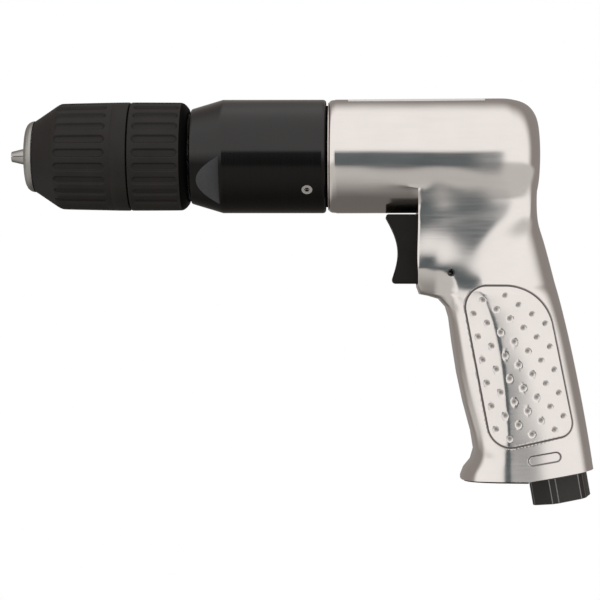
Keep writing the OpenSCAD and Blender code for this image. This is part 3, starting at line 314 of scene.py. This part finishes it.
def rounded_outline(corners, spacing):
    """Points along a closed outline of straight sides and round corners."""
    places = [Vector(c[:2]) for c in corners]
    outline = []
    for k, here in enumerate(places):
        radius = corners[k][2]
        before = (places[k - 1] - here).normalized()
        after = (places[(k + 1) % len(places)] - here).normalized()
        half = before.angle(after) / 2
        middle = here + (before + after).normalized() * radius / math.sin(half)
        start = here + before * radius / math.tan(half) - middle
        sweep = (here + after * radius / math.tan(half) - middle).angle_signed(start)
        steps = max(8, round(abs(sweep) * radius / spacing))
        outline += [middle + Matrix.Rotation(sweep * s / steps, 2) @ start for s in range(steps + 1)]
    dense = []
    for p, q in zip(outline, outline[1:] + outline[:1]):
        steps = max(1, round((q - p).length / spacing))
        dense += [p.lerp(q, s / steps) for s in range(steps)]
    return dense


groove_line = rounded_outline(panel_corners, 0.15)
groove_tree = KDTree(len(groove_line))
for k, p in enumerate(groove_line):
    groove_tree.insert((p.x, p.y, 0), k)
groove_tree.balance()
dimple_rows = {-2: (3, 6), -1: (1, 6), 0: (0, 6), 1: (0, 6), 2: (0, 6), 3: (0, 5), 4: (0, 3), 5: (0, 1)}
dimple_radius, dimple_depth = 1.25, 0.6
(first_x, first_z), (next_x, next_z), (row_x, row_z) = (177.45, -62.6), (5.236, -3.61), (1.755, -9.005)
dimples = [(first_x + next_x * i + row_x * j, first_z + next_z * i + row_z * j)
           for j, (first, last) in dimple_rows.items() for i in range(first, last + 1)]
dimple_tree = KDTree(len(dimples))
for k, (x, z) in enumerate(dimples):
    dimple_tree.insert((x, z, 0), k)
dimple_tree.balance()


def groove_distance(x, z):
    """Distance of a point from the middle of the panel's groove."""
    return groove_tree.find((x, z, 0))[2]


def dimple_distance(x, z):
    """Distance of a point from the middle of the nearest dimple."""
    return dimple_tree.find((x, z, 0))[2]


recess_tilt, recess_half_run, recess_radius = 0.175, 4.5, 1.85
recess_middle = Vector((205.06, -118.95))
recess_along = Vector((math.cos(recess_tilt), math.sin(recess_tilt)))


def recess_distance(x, z):
    """Distance of a point from the edge of the rounded recess, negative inside it."""
    offset = Vector((x, z)) - recess_middle
    run = max(-recess_half_run, min(recess_half_run, offset.dot(recess_along)))
    return (offset - recess_along * run).length - recess_radius


side_from_y, side_facing = 9, 0.3


def refine(bm, wanted):
    """Divides the side faces whose middle is wanted."""
    edges = set()
    for face in bm.faces:
        middle = face.calc_center_median() / mm
        on_side = abs(middle.y) > side_from_y and abs(face.normal.y) > side_facing
        if on_side and middle.z < -45 and wanted(middle):
            edges.update(face.edges)
    bmesh.ops.subdivide_edges(bm, edges=list(edges), cuts=1, use_grid_fill=True, smooth=0)


refine(bm, lambda p: groove_distance(p.x, p.z) < 1.1 or dimple_distance(p.x, p.z) < 2.1
       or p.y < 0 and recess_distance(p.x, p.z) < 1.2)
refine(bm, lambda p: groove_distance(p.x, p.z) < 0.6 or dimple_distance(p.x, p.z) < 1.45
       or p.y < 0 and abs(recess_distance(p.x, p.z)) < 0.7)
bm.normal_update()
# Each vertex gets a value that darkens the casting's colour in the groove, in the dimples and round the
# recess rim: partly soiling, partly painted shade in these hollows.
groove_grime_and_shade = bm.verts.layers.float.new("groove_grime_and_shade")
groove_depth, recess_depth = 0.42, 0.3
swell_height, swell_x, swell_z, swell_spread = 0.55, 160.5, -40, 70
moves = []
for vert in bm.verts:
    x, y, z = vert.co / mm
    if abs(y) < side_from_y or abs(vert.normal.y) < side_facing or not -124 < z < -20:
        continue
    swell = (swell_height * math.exp(-(x - swell_x) ** 2 / swell_spread - (z - swell_z) ** 2 / swell_spread)
             * (1 - soft_step(41, 48, -z)))
    gap = groove_distance(x, z)
    hollow = groove_depth * (1 - soft_step(0.1, 0.5, gap))
    grime_and_shade = 1 - soft_step(0.12, 0.5, gap)
    dip = dimple_distance(x, z)
    if dip < dimple_radius:
        hollow += dimple_depth * (1 - (dip / dimple_radius) ** 2) ** 1.3
        grime_and_shade = max(grime_and_shade, 0.75 * (1 - soft_step(0.35, 1.2, dip)))
    if y < 0:
        edge_gap = recess_distance(x, z)
        hollow += recess_depth * (1 - soft_step(-0.25, 0.2, edge_gap))
        grime_and_shade = max(grime_and_shade, 1 - soft_step(0.12, 0.45, abs(edge_gap)))
    vert[groove_grime_and_shade] = grime_and_shade
    if hollow or swell > 0.001:
        moves.append((vert, vert.co + vert.normal * (swell - hollow) * mm))
for vert, place in moves:
    vert.co = place

motor_bore = turned([(118, 0), (118, 20.25), (130, 20.25), (130, 18.05), (175.6, 18.05), (175.6, 10),
                     (183.6, 10), (183.6, 0)], 96)
plate_seat = bent_strip([(128.35, 22.3), (182.65, 22.3), (182.65, 26), (128.35, 26)], 19.6, 20)
trigger_slot = block((152.8, -9.35, -51.05), (164.4, 9.35, -22.95))
pin_x, stem_z, valve_z, valve_bore_end_x = 168.7, -46.5, -33, 189.9
pin_bore = rod((pin_x, -30, stem_z), (pin_x, 30, stem_z), 1.5)
pin_sinks = [rod((pin_x, side * 19.1, stem_z), (pin_x, side * 18.5, stem_z), 1.85, 1.45) for side in (-1, 1)]
stem_bore = rod((163.4, 0, stem_z), (182.2, 0, stem_z), 3.25)
valve_bore = rod((163.4, 0, valve_z), (valve_bore_end_x, 0, valve_z), 6.5)
inlet_bore = rod(inlet_seat - inlet_down * 17, inlet_seat + inlet_down, 9.05)
exhaust_pocket = block((186.92, -11.5, -129), (200.32, 11.5, -118))
bm = cut(bm, motor_bore, plate_seat, trigger_slot, pin_bore, *pin_sinks, stem_bore, valve_bore, inlet_bore,
         exhaust_pocket)
motor_housing = piece("motor_housing_shell", bm, 28)
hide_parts("motor_housing")
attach(motor_housing, "housing")


class Wire:
    """An output socket in a node tree. Sums and products of wires add Math nodes."""

    def __init__(self, tree, socket):
        self.tree, self.socket = tree, socket

    def node(self, kind, inputs=None, out=0, **settings):
        """Adds a node of any kind, with its inputs joined or set, and gives one of its outputs."""
        made = self.tree.nodes.new(kind)
        for name, value in settings.items():
            setattr(made, name, value)
        for key, value in (inputs or {}).items():
            if isinstance(value, Wire):
                self.tree.links.new(value.socket, made.inputs[key])
            else:
                made.inputs[key].default_value = value
        return Wire(self.tree, made.outputs[out])

    def math(self, operation, *others):
        return self.node("ShaderNodeMath", dict(enumerate((self, *others))), operation=operation)

    def __add__(self, other):
        return self.math("ADD", other)

    def __sub__(self, other):
        return self.math("SUBTRACT", other)

    def __rsub__(self, other):
        return self.node("ShaderNodeMath", {0: other, 1: self}, operation="SUBTRACT")

    def __mul__(self, other):
        return self.math("MULTIPLY", other)

    __radd__, __rmul__ = __add__, __mul__

    def step(self, low, high, start=0.0, end=1.0):
        """Goes smoothly from start to end while this wire goes from low to high."""
        return self.node("ShaderNodeMapRange", {0: self, 1: low, 2: high, 3: start, 4: end},
                         interpolation_type="SMOOTHSTEP")

    def tint(self, dark, light):
        """Mixes two colours, each of them three numbers or a wire."""
        first, second = [end if isinstance(end, Wire) else (*end, 1) for end in (dark, light)]
        return self.node("ShaderNodeMix", {0: self, 6: first, 7: second}, out=2, data_type="RGBA")

    def grain(self, scale, stretch=(1, 1, 1), detail=3.0):
        """Noise at this place, stretched along the axes."""
        spot = self.node("ShaderNodeMapping", {"Vector": self, "Scale": stretch})
        return self.node("ShaderNodeTexNoise", {"Vector": spot, "Scale": scale, "Detail": detail})

    def bump(self, depth, strength=1.0, normal=None):
        over = {} if normal is None else {"Normal": normal}
        return self.node("ShaderNodeBump", {"Height": self, "Distance": depth, "Strength": strength, **over})


class Finish:
    """A surface finish: one Principled shader and the Object coordinates that its patterns read."""

    def __init__(self, name, **constants):
        self.material = bpy.data.materials.new(name)
        self.material.use_nodes = True
        self.tree = self.material.node_tree
        self.shader = self.tree.nodes["Principled BSDF"]
        for key, value in constants.items():
            self.shader.inputs[key.replace("_", " ")].default_value = value
        self.place = Wire(self.tree, self.tree.nodes.new("ShaderNodeTexCoord").outputs["Object"])

    def feed(self, **wires):
        for key, wire in wires.items():
            self.tree.links.new(wire.socket, self.shader.inputs[key.replace("_", " ")])

    def attribute(self, name):
        return self.place.node("ShaderNodeAttribute", out=2, attribute_name=name)

    def on(self, *pieces):
        for made in pieces:
            if made.data.materials:
                made.data.materials.clear()
            made.data.materials.append(self.material)


polish = Finish("polished_casting", Metallic=1.0)
brushing = polish.place.grain(1.0, (70, 1500, 2000), 4.0)
cloudy = polish.place.grain(90, detail=2.0)
grime_and_shade_mask = polish.attribute("groove_grime_and_shade")
hand_waves = polish.place.grain(24, detail=1.0).bump(0.0008)
clean = (cloudy * 0.5 + brushing * 0.5).tint((0.75, 0.71, 0.685), (0.88, 0.835, 0.805))
# The colour goes towards near black and rougher where that value is high: soiling and painted shade in the
# groove, dimples and recess rim.
polish.feed(Base_Color=(grime_and_shade_mask * 0.85).tint(clean, (0.07, 0.06, 0.055)),
            Roughness=0.08 + brushing * 0.07 + cloudy * 0.04 + grime_and_shade_mask * 0.3,
            Normal=brushing.bump(0.000004, normal=hand_waves))
polish.on(motor_housing)

# Nameplate: a thin aluminium strip bent to the barrel and painted white.
# It is glued into a shallow seat on top of the barrel.
bm = bent_strip([(128.5, 22.35), (182.5, 22.35), (182.5, 23.03), (155.5, 22.85), (128.5, 22.67)], 19.4, 24)
ease_edges(bm, [e for e in bm.edges if e.calc_face_angle(0) > math.radians(50)], 0.08, 2)
nameplate = piece("nameplate_strip", bm)
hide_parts("nameplate")
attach(nameplate, "housing")
plate_finish = Finish("bare_nameplate", IOR=1.2)
fine = plate_finish.place.grain(1.0, (200, 4000, 4000))
plate_finish.feed(Base_Color=fine.tint((0.84, 0.83, 0.81), (0.92, 0.91, 0.89)), Roughness=0.6 + fine * 0.1)
plate_finish.on(nameplate)

# Air motor: a steel rotor with laminate vanes turns in a cast iron cylinder between two end plates.
# Ball bearings carry the rotor and a dowel keeps the cylinder from turning. It all slides into the barrel.


def nodes(*names):
    """The objects of pieces that keep the shape of their solids."""
    return [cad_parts[name] for name in names]


def ground_metal(name, dark, light, rough, lines, depth):
    """Bare metal with machining lines; lines is how often they repeat along x, y and z in a metre."""
    made = Finish(name, Metallic=1.0)
    marks = made.place.grain(1.0, lines, 3.0)
    stain = made.place.grain(160, detail=2.0)
    made.feed(Base_Color=(marks * 0.5 + stain * 0.5).tint(dark, light), Roughness=rough + stain * 0.14 - 0.07,
              Normal=marks.bump(depth))
    return made


steel = ground_metal("ground_steel", (0.44, 0.43, 0.42), (0.62, 0.61, 0.60), 0.34,
                     (2600, 300, 300), 0.000006)
dark_steel = ground_metal("dark_steel", (0.18, 0.18, 0.185), (0.30, 0.30, 0.305), 0.4,
                          (2200, 500, 500), 0.000008)
steel.on(*nodes("rotor", "cylinder_dowel", "front_bearing_outer", "front_bearing_inner",
                "front_bearing_balls", "rear_bearing_outer", "rear_bearing_inner", "rear_bearing_balls"))
dark_steel.on(*nodes("motor_cylinder", "front_end_plate", "rear_end_plate"))
vane_finish = Finish("vane_laminate")
weave = vane_finish.place.grain(1.0, (5000, 900, 900))
vane_finish.feed(Base_Color=weave.tint((0.20, 0.13, 0.07), (0.34, 0.24, 0.14)), Roughness=0.5 + weave * 0.2,
                 Normal=weave.bump(0.00001))
vane_finish.on(*nodes("vanes"))

# Gear case: turned from bar, blacked and polished, with a wrench flat milled on each side of its front cone.
# Its thread screws into the barrel, and a small socket plug closes the grease hole in its side.
case_outline = [(66, 8), (66, 18.45), (66.2, 18.8), (66.55, 19.02), (67.2, 19.214), (77.5, 22.286),
                (78.15, 22.48), (78.6, 22.6), (79.3, 22.6), (117.7, 22.6), (118.4, 22.6), (119.05, 22.45),
                (119.5, 22.05), (119.65, 21.5), (119.65, 20.2), (129.6, 20.2), (129.6, 18.05), (82, 18.05),
                (82, 16.05), (71, 16.05), (71, 12.55), (68.2, 12.55), (68.2, 8)]
flat_turn, flat_end_x, thread_x = 32, 77.9, 119.5
flats = []
for turn in (flat_turn, flat_turn + 180):
    flat = block((65, -45, -24), (flat_end_x, -19.7, 24))
    bmesh.ops.rotate(flat, cent=(0, 0, 0), matrix=Matrix.Rotation(math.radians(turn), 3, "X"),
                     verts=flat.verts)
    flats.append(flat)


def downward(turn):
    """Direction out from the spindle axis to the near side, turned down by an angle in degrees."""
    return Vector((0, -math.cos(math.radians(turn)), -math.sin(math.radians(turn))))


plug_spot, plug_way, flat_way = Vector((112.4, 0, 0)), downward(39), downward(flat_turn)
plug_hole = rod(plug_spot + plug_way * 15, plug_spot + plug_way * 26, 2.15)
bm = cut(turned(case_outline, 160, closed=True), *flats, plug_hole)
for face in bm.faces:
    middle = face.calc_center_median() / mm
    on_flat = abs(face.normal.dot(flat_way)) > 0.999 and middle.yz.length > 18
    if middle.x < flat_end_x + 0.01 and on_flat:
        face.material_index = 1
    elif middle.x > thread_x:
        face.material_index = 2
gear_case = piece("gear_case_shell", bm, 25)
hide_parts("gear_case")
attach(gear_case, "housing")

black_case = Finish("blacked_case", IOR=1.12, Coat_Roughness=0.11)
height_on_case = black_case.place.node("ShaderNodeSeparateXYZ", {0: black_case.place}, out=2)
# Coat weight rises from the lower half of the case to its top: a painted sheen that makes the top glossy and
# leaves the lower half duller, as if lit from above.
top_sheen_coat = height_on_case.step(-4 * mm, 1 * mm, 0.3, 1.0)
lathe = black_case.place.grain(1.0, (4200, 14, 14), 4.0)
haze = black_case.place.grain(60, detail=2.0)
black_case.feed(Base_Color=lathe.tint((0.003, 0.0026, 0.0024), (0.009, 0.008, 0.0075)),
                Roughness=0.16 + lathe * 0.10 + haze * 0.05, Coat_Weight=top_sheen_coat * (1.06 - haze * 0.12),
                Normal=lathe.bump(0.0000025))
milled = Finish("milled_flat")
swirl = milled.place.grain(1.0, (1500, 1500, 300), 3.0)
milled.feed(Base_Color=swirl.tint((0.040, 0.042, 0.047), (0.066, 0.068, 0.075)),
            Roughness=0.36 + swirl * 0.14, Normal=swirl.bump(0.00001))
black_case.on(gear_case)
gear_case.data.materials.append(milled.material)
greased = Finish("greased_thread", IOR=1.1)
smear = greased.place.grain(700)
greased.feed(Base_Color=smear.tint((0.002, 0.0018, 0.0016), (0.005, 0.0045, 0.004)),
             Roughness=0.6 + smear * 0.2)
gear_case.data.materials.append(greased.material)
plug_finish = Finish("bright_plug", Metallic=1.0)
vector_math = "ShaderNodeVectorMath"
from_spot = plug_finish.place.node(vector_math, {0: plug_finish.place, 1: plug_spot * mm},
                                   operation="SUBTRACT")
from_axis = from_spot.node(vector_math, {0: from_spot, 1: plug_way}, operation="CROSS_PRODUCT")
from_axis = from_axis.node(vector_math, {0: from_axis}, out=1, operation="LENGTH")
# The middle of the plug, over its socket, is painted near black: painted shade inside the socket hole.
socket_shade_edge = from_axis.step(0.75 * mm, 1.05 * mm)
plug_finish.feed(Base_Color=socket_shade_edge.tint((0.05, 0.045, 0.04), (0.78, 0.76, 0.73)),
                 Roughness=0.2 + plug_finish.place.grain(900) * 0.12)
plug_finish.on(*nodes("grease_plug"))

# Gears: hardened steel planets on ground pins run between the sun gears and a ring gear.
# The ring gear is pressed into the case, and the first carrier has the second sun gear on it.
dark_steel.on(*nodes("ring_gear", "planet_2a", "planet_2b", "planet_2c", "intermediate_carrier", "planet_1a",
                     "planet_1b", "planet_1c"))
steel.on(*nodes("planet_1_pins", "planet_2_pins"))

# Spindle: a ground steel shaft that carries the second planets and runs in a ball bearing.
# A steel retaining ring holds the bearing in the case, behind a rubber lip seal.
steel.on(*nodes("spindle", "spindle_bearing_outer", "spindle_bearing_inner", "spindle_bearing_balls"))
dark_steel.on(*nodes("bearing_retaining_ring"))
rubber = Finish("black_rubber")
pores = rubber.place.grain(1400)
rubber.feed(Base_Color=pores.tint((0.012, 0.012, 0.012), (0.028, 0.027, 0.026)), Roughness=0.6 + pores * 0.2,
            Normal=pores.bump(0.00002))
rubber.on(*nodes("spindle_seal", "valve_seat_seal", "inlet_washer"))

# Chuck: a turned steel body with a domed nose holds three hardened jaws, which a split nut draws in and out.
# A socket screw keeps it on the spindle's thread.
nose_steel = ground_metal("satin_nose", (0.36, 0.35, 0.335), (0.50, 0.49, 0.47), 0.42,
                          (3200, 60, 60), 0.000006)
nose_steel.on(*nodes("chuck_body"))
jaw_steel = ground_metal("jaw_steel", (0.40, 0.385, 0.37), (0.58, 0.565, 0.55), 0.36,
                         (400, 2400, 2400), 0.000008)
jaw_steel.on(*nodes("jaw_1", "jaw_2", "jaw_3"))
steel.on(*nodes("nut_thrust_balls", "nut_thrust_washer"))
dark_steel.on(*nodes("chuck_nut", "chuck_screw"))

# Chuck sleeves: two moulded glass filled plastic sleeves with grip grooves, matt brown black.
# The front one turns on the body and carries the nut, the rear one is pressed on the back of the body.
grip_grooves, grip_groove_half, grip_groove_sink = 24, 1.6, 0.9
sleeve_steps, outside_from = 480, 19.9


def ribbed(bm, first, last):
    """Presses round ended grip grooves into a turned sleeve between two stations along x."""
    for vert in bm.verts:
        x, y, z = vert.co / mm
        radius = math.hypot(y, z)
        if radius < outside_from or not first - 1 < x < last + 1:
            continue
        turn = math.atan2(y, z) * grip_grooves / (2 * math.pi)
        side = (turn - round(turn)) * 2 * math.pi / grip_grooves * radius
        run = max(first + grip_groove_half, min(last - grip_groove_half, x)) - x
        gap = math.hypot(run, side) - grip_groove_half
        sink = grip_groove_sink * (1 - soft_step(-0.34, 0.03, gap))
        vert.co.yz = vert.co.yz * (1 - sink / radius)


def stations_between(start, end, count):
    """Even points along a straight line between two (x, radius) points."""
    return [tuple(Vector(start).lerp(Vector(end), k / count)) for k in range(count + 1)]


front_outline = ([(3.45, 13.35), (3.45, 13.9), (3.62, 14.2), (4, 14.5)]
                 + stations_between((5, 15.15), (12, 19.85), 6)
                 + stations_between((12.5, 20.2), (13.7, 20.85), 4)
                 + [(14.2, 21.02), (14.8, 21.1)]
                 + stations_between((15.2, 21.12), (18, 21.2), 7)
                 + stations_between((20, 21.25), (30, 21.45), 5)
                 + stations_between((30.5, 21.46), (34.5, 21.54), 10)
                 + [(35.1, 21.56), (35.3, 21.46), (35.5, 21.57), (38, 21.6), (41, 21.62), (41.35, 21.54),
                    (41.5, 21.34), (41.5, 17), (22, 17), (22, 13.35)])
bm = turned(front_outline, sleeve_steps, closed=True)
ribbed(bm, 12.9, 33.1)
front_sleeve = piece("front_sleeve_skin", bm, 40)
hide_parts("front_sleeve")
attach(front_sleeve, "sleeve")

rear_outline = ([(42, 19.3), (42, 21.2), (42.12, 21.48), (42.4, 21.58)]
                + stations_between((42.8, 21.6), (46.4, 21.6), 9)
                + stations_between((48, 21.6), (58, 21.55), 5)
                + stations_between((58.6, 21.55), (61.8, 21.5), 8)
                + [(62.3, 21.42), (63, 21.1), (63.8, 20.5), (64.5, 19.7), (65, 18.9), (65.2, 18.2),
                   (65.2, 17), (58.2, 17), (58.2, 19.3)])
bm = turned(rear_outline, sleeve_steps, closed=True)
ribbed(bm, 43.8, 61.6)
smooth_from_x = 62.4
# Faces behind this station take the near black end finish, which paints the shade of the gap against the gear
# case.
for face in bm.faces:
    face.material_index = int(face.calc_center_median().x > smooth_from_x * mm)
rear_sleeve = piece("rear_sleeve_skin", bm, 40)
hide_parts("rear_sleeve")
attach(rear_sleeve, "spindle")

sleeve_plastic = Finish("matt_sleeve_plastic", IOR=1.36)
grit = sleeve_plastic.place.grain(2600, detail=4.0)
patch = sleeve_plastic.place.grain(120, detail=2.0)
sleeve_plastic.feed(Base_Color=patch.tint((0.0125, 0.0103, 0.0091), (0.021, 0.0175, 0.0155)),
                    Roughness=0.42 + grit * 0.16, Normal=grit.bump(0.00003, 0.6))
sleeve_plastic.on(front_sleeve, rear_sleeve)
# The smooth back end is near black and barely reflects: painted shade of the narrow gap between the sleeve
# and the gear case.
gap_shade_finish = Finish("sleeve_end_gap_shade", IOR=1.12)
end_shade_grain = gap_shade_finish.place.grain(300)
gap_shade_finish.feed(Base_Color=end_shade_grain.tint((0.001, 0.0009, 0.0008), (0.002, 0.0018, 0.0016)),
                Roughness=0.45 + end_shade_grain * 0.1)
rear_sleeve.data.materials.append(gap_shade_finish.material)

# Throttle: a moulded plastic trigger slides in its block on a stem that a slotted steel spring pin keeps in.
# It pushes a brass valve off its seat against a coil spring.
trigger_half, trigger_back_x, finger_steps, finger_hollow = 9, 158.6, 20, 3.4
trigger_points = [(trigger_back_x, -23.3), (144.2, -23.3), (143.6, -23.7), (143.45, -24.4)]
trigger_points += [(143.4 + 2.7 * s / finger_steps + finger_hollow * math.sin(math.pi * s / finger_steps),
                    -24.3 - 24.4 * s / finger_steps) for s in range(1, finger_steps)]
trigger_points += [(146.05, -48.9), (146.1, -49.7), (146.5, -50.4), (147.3, -50.7), (trigger_back_x, -50.7)]
bm = bmesh.new()
side = bm.faces.new([bm.verts.new((x * mm, -trigger_half * mm, z * mm)) for x, z in trigger_points])
swept = bmesh.ops.extrude_face_region(bm, geom=[side])["geom"]
bmesh.ops.translate(bm, vec=(0, 2 * trigger_half * mm, 0),
                    verts=[v for v in swept if isinstance(v, bmesh.types.BMVert)])
bmesh.ops.recalc_face_normals(bm, faces=bm.faces)
rims = [e for e in bm.edges if abs(e.verts[0].co.y - e.verts[1].co.y) < 1e-6
        and min(v.co.x for v in e.verts) < 158 * mm]
ease_edges(bm, rims, 0.9, 4)
bm = cut(bm, rod((157.6, 0, stem_z), (176.15, 0, stem_z), 3.2), operation="UNION")
pin_slot = block((161.95, -7, -48.05), (170.45, 7, -44.95))
bm = cut(bm, pin_slot)
trigger = piece("trigger_moulding", bm, 40)
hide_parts("trigger")
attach(trigger, "trigger")
trigger_plastic = Finish("trigger_plastic", IOR=1.3)
speck = trigger_plastic.place.grain(3000, detail=4.0)
worn = trigger_plastic.place.grain(140, detail=2.0)
trigger_plastic.feed(Base_Color=worn.tint((0.0075, 0.0057, 0.0049), (0.0125, 0.0098, 0.0084)),
                     Roughness=0.42 + speck * 0.18, Normal=speck.bump(0.00002, 0.6))
trigger_plastic.on(trigger)

pin_finish = ground_metal("blacked_pin", (0.05, 0.048, 0.046), (0.10, 0.098, 0.095), 0.42,
                          (900, 900, 900), 0.00001)
pin_finish.on(*nodes("trigger_pin"))
brass = ground_metal("turned_brass", (0.62, 0.45, 0.20), (0.78, 0.60, 0.30), 0.3, (2600, 300, 300), 0.000006)
brass.on(*nodes("throttle_valve", "valve_seat", "inlet_screen"))

# Valve spring: six turns of round steel wire, wound cold. It stands in the bore behind the valve's head.
# It shortens as the trigger pushes the valve back, and closes the valve again.
coil_low, coil_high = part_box("valve_spring")
coil_axis_z = (coil_low[2] + coil_high[2]) / 2
coil_radius, coil_wire, coil_turns, steps_per_turn = 3.4 * mm, 0.9 * mm, 6, 32
steps = coil_turns * steps_per_turn
coil_start_x = coil_low[0] + coil_wire / 2
rise = coil_high[0] - coil_low[0] - coil_wire
bm = bmesh.new()
bmesh.ops.create_circle(bm, segments=12, radius=coil_wire / 2,
                        matrix=Matrix.Translation((coil_start_x, coil_radius, coil_axis_z)))
bmesh.ops.spin(bm, geom=bm.verts[:] + bm.edges[:], cent=(coil_start_x, 0, coil_axis_z), axis=(1, 0, 0),
               dvec=(rise / steps, 0, 0), angle=2 * math.pi * coil_turns, steps=steps)
bmesh.ops.holes_fill(bm, edges=[e for e in bm.edges if e.is_boundary])
bmesh.ops.recalc_face_normals(bm, faces=bm.faces)
valve_coil = piece("valve_spring_coil", bm, 40)
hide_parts("valve_spring")
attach(valve_coil, "housing")
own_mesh(valve_coil)
steel.on(valve_coil)

# Inlet bushing: a hexagon of black oxide steel with turned corners, screwed up into the handle over a washer.
# Its tapered thread takes the air hose; the oxide is worn bright along the corners, and the lighter steel on
# the edge bevels is also a painted highlight there.
hex_corner_radius, hex_height, hex_middle, hex_turn = 12.471, 10, 5.9, 17
upright = Matrix.Translation(inlet_seat * mm) @ Matrix.Rotation(math.radians(170), 4, "Y")
bm = bmesh.new()
bmesh.ops.create_cone(bm, cap_ends=True, segments=6, radius1=hex_corner_radius * mm,
                      radius2=hex_corner_radius * mm, depth=hex_height * mm,
                      matrix=(Matrix.Translation((0, 0, hex_middle * mm))
                              @ Matrix.Rotation(math.radians(hex_turn), 4, "Z")))
corners = [e for e in bm.edges if abs(e.verts[0].co.z - e.verts[1].co.z) > 5 * mm]
ease_edges(bm, corners, 1.5, 1, clamp=False)
bm.transform(upright)
thread_stub = rod(inlet_seat - inlet_down * 16, inlet_seat + inlet_down * 5, 9)
hose_bore = rod(inlet_seat - inlet_down * 3.1, inlet_seat + inlet_down * 12, 5.55)
air_way = rod(inlet_seat - inlet_down * 17, inlet_seat - inlet_down * 2, 4.55)
bm = cut(bm, thread_stub, operation="UNION")
bm = cut(bm, hose_bore, air_way)


def on_hexagon(vert):
    """Whether a point lies on the outside of the hexagon."""
    offset = vert.co - inlet_seat * mm
    return (offset - inlet_down * offset.dot(inlet_down)).length > 10.6 * mm


sharp = [e for e in bm.edges if e.calc_face_angle(0) > math.radians(20)
         and all(on_hexagon(v) for v in e.verts)]
# The thin bevels along the hexagon's edges take a lighter steel: worn oxide, and a painted highlight along
# the edges.
for face in ease_edges(bm, sharp, 0.2, 1, clamp=False)["faces"]:
    face.material_index = 1
inlet_bushing = piece("inlet_hexagon", bm, 30)
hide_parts("inlet_bushing")
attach(inlet_bushing, "housing")
oxide = Finish("black_oxide", Metallic=0.35)
mottle = oxide.place.grain(900, detail=4.0)
oxide.feed(Base_Color=mottle.tint((0.022, 0.020, 0.019), (0.044, 0.041, 0.039)),
           Roughness=0.36 + mottle * 0.18, Normal=mottle.bump(0.00002))
edge_wear_and_highlight = ground_metal("worn_and_highlit_corner", (0.16, 0.155, 0.15), (0.42, 0.41, 0.40), 0.36,
                      (700, 700, 700), 0.000008)
oxide.on(inlet_bushing)
inlet_bushing.data.materials.append(edge_wear_and_highlight.material)

# Exhaust: a felt pad in the bottom of the handle quiets the air, under a thin black steel plate with slots.
# Two small steel screws hold the plate to the casting.
oxide.on(*nodes("exhaust_plate"))
dark_steel.on(*nodes("exhaust_plate_screws"))
felt = Finish("grey_felt")
fibre = felt.place.grain(2200, detail=5.0)
felt.feed(Base_Color=fibre.tint((0.14, 0.13, 0.115), (0.30, 0.28, 0.25)), Roughness=0.85 + fibre * 0.1,
          Normal=fibre.bump(0.00015))
felt.on(*nodes("muffler_pad"))

# Studio: a pale round floor under the drill, and a white room with a brown far side and a graded ground.
# A dark card behind the camera makes the dark fields on the casting. The camera looks along +Y.
bm = bmesh.new()
floor_radius, floor_middle = 0.36, (0.11, 0, -0.26)
bmesh.ops.create_circle(bm, cap_ends=True, segments=96, radius=floor_radius,
                        matrix=Matrix.Translation(floor_middle))
floor = piece("floor", bm)
floor_finish = Finish("pale_floor", Roughness=0.8)
floor_finish.feed(Base_Color=floor_finish.place.grain(40).tint((0.58, 0.585, 0.56), (0.61, 0.615, 0.59)))
floor_finish.on(floor)
floor.visible_glossy = False

scene = bpy.context.scene
scene.view_settings.view_transform = "Standard"
world = bpy.data.worlds.new("studio_light")
scene.world = world
world.use_nodes = True
sky = Wire(world.node_tree, world.node_tree.nodes.new("ShaderNodeTexCoord").outputs["Generated"])
sides = [sky.node("ShaderNodeSeparateXYZ", {0: sky}, out=k) for k in range(3)]
degree = math.pi / 180
height = sides[2].math("ARCSINE")
turn = sides[0].math("ARCTAN2", 0 - sides[1])
slanting = height + 3.2 * turn.math("MAXIMUM", -0.9 * degree)
card = (height.step(3 * degree, 10 * degree, 1, 0) * slanting.step(-30 * degree, -21 * degree)
        * turn.step(5 * degree, 7.2 * degree, 1, 0) * turn.step(-9 * degree, -7 * degree))
aside = sides[0].math("ABSOLUTE")
wall = (sides[1] + 0.85 * aside).step(0.1, 0.82).tint((1.0, 0.985, 0.97), (0.29, 0.265, 0.25))
ground = (sides[1] - 1.4 * aside).step(-0.95, 0.1).tint((0.60, 0.585, 0.565), (0.155, 0.145, 0.135))
room = card.tint(height.step(-20 * degree, -9 * degree).tint(ground, wall), (0.088, 0.108, 0.116))
seen_by_camera = sky.node("ShaderNodeLightPath")
room = seen_by_camera.tint(room, (1, 1, 1))
world.node_tree.links.new(room.socket, world.node_tree.nodes["Background"].inputs["Color"])

lens = bpy.data.cameras.new("camera")
lens.lens, lens.sensor_width = 120.2, 36
camera = bpy.data.objects.new("camera", lens)
scene.collection.objects.link(camera)
camera_place, camera_pan, camera_roll = (0.1319, -0.79967, -0.05725), 1.62 * degree, 0.09 * degree
camera.matrix_world = (Matrix.Translation(camera_place) @ Matrix.Rotation(camera_pan, 4, "Z")
                       @ Matrix.Rotation(90 * degree, 4, "X") @ Matrix.Rotation(camera_roll, 4, "Z"))
scene.camera = camera
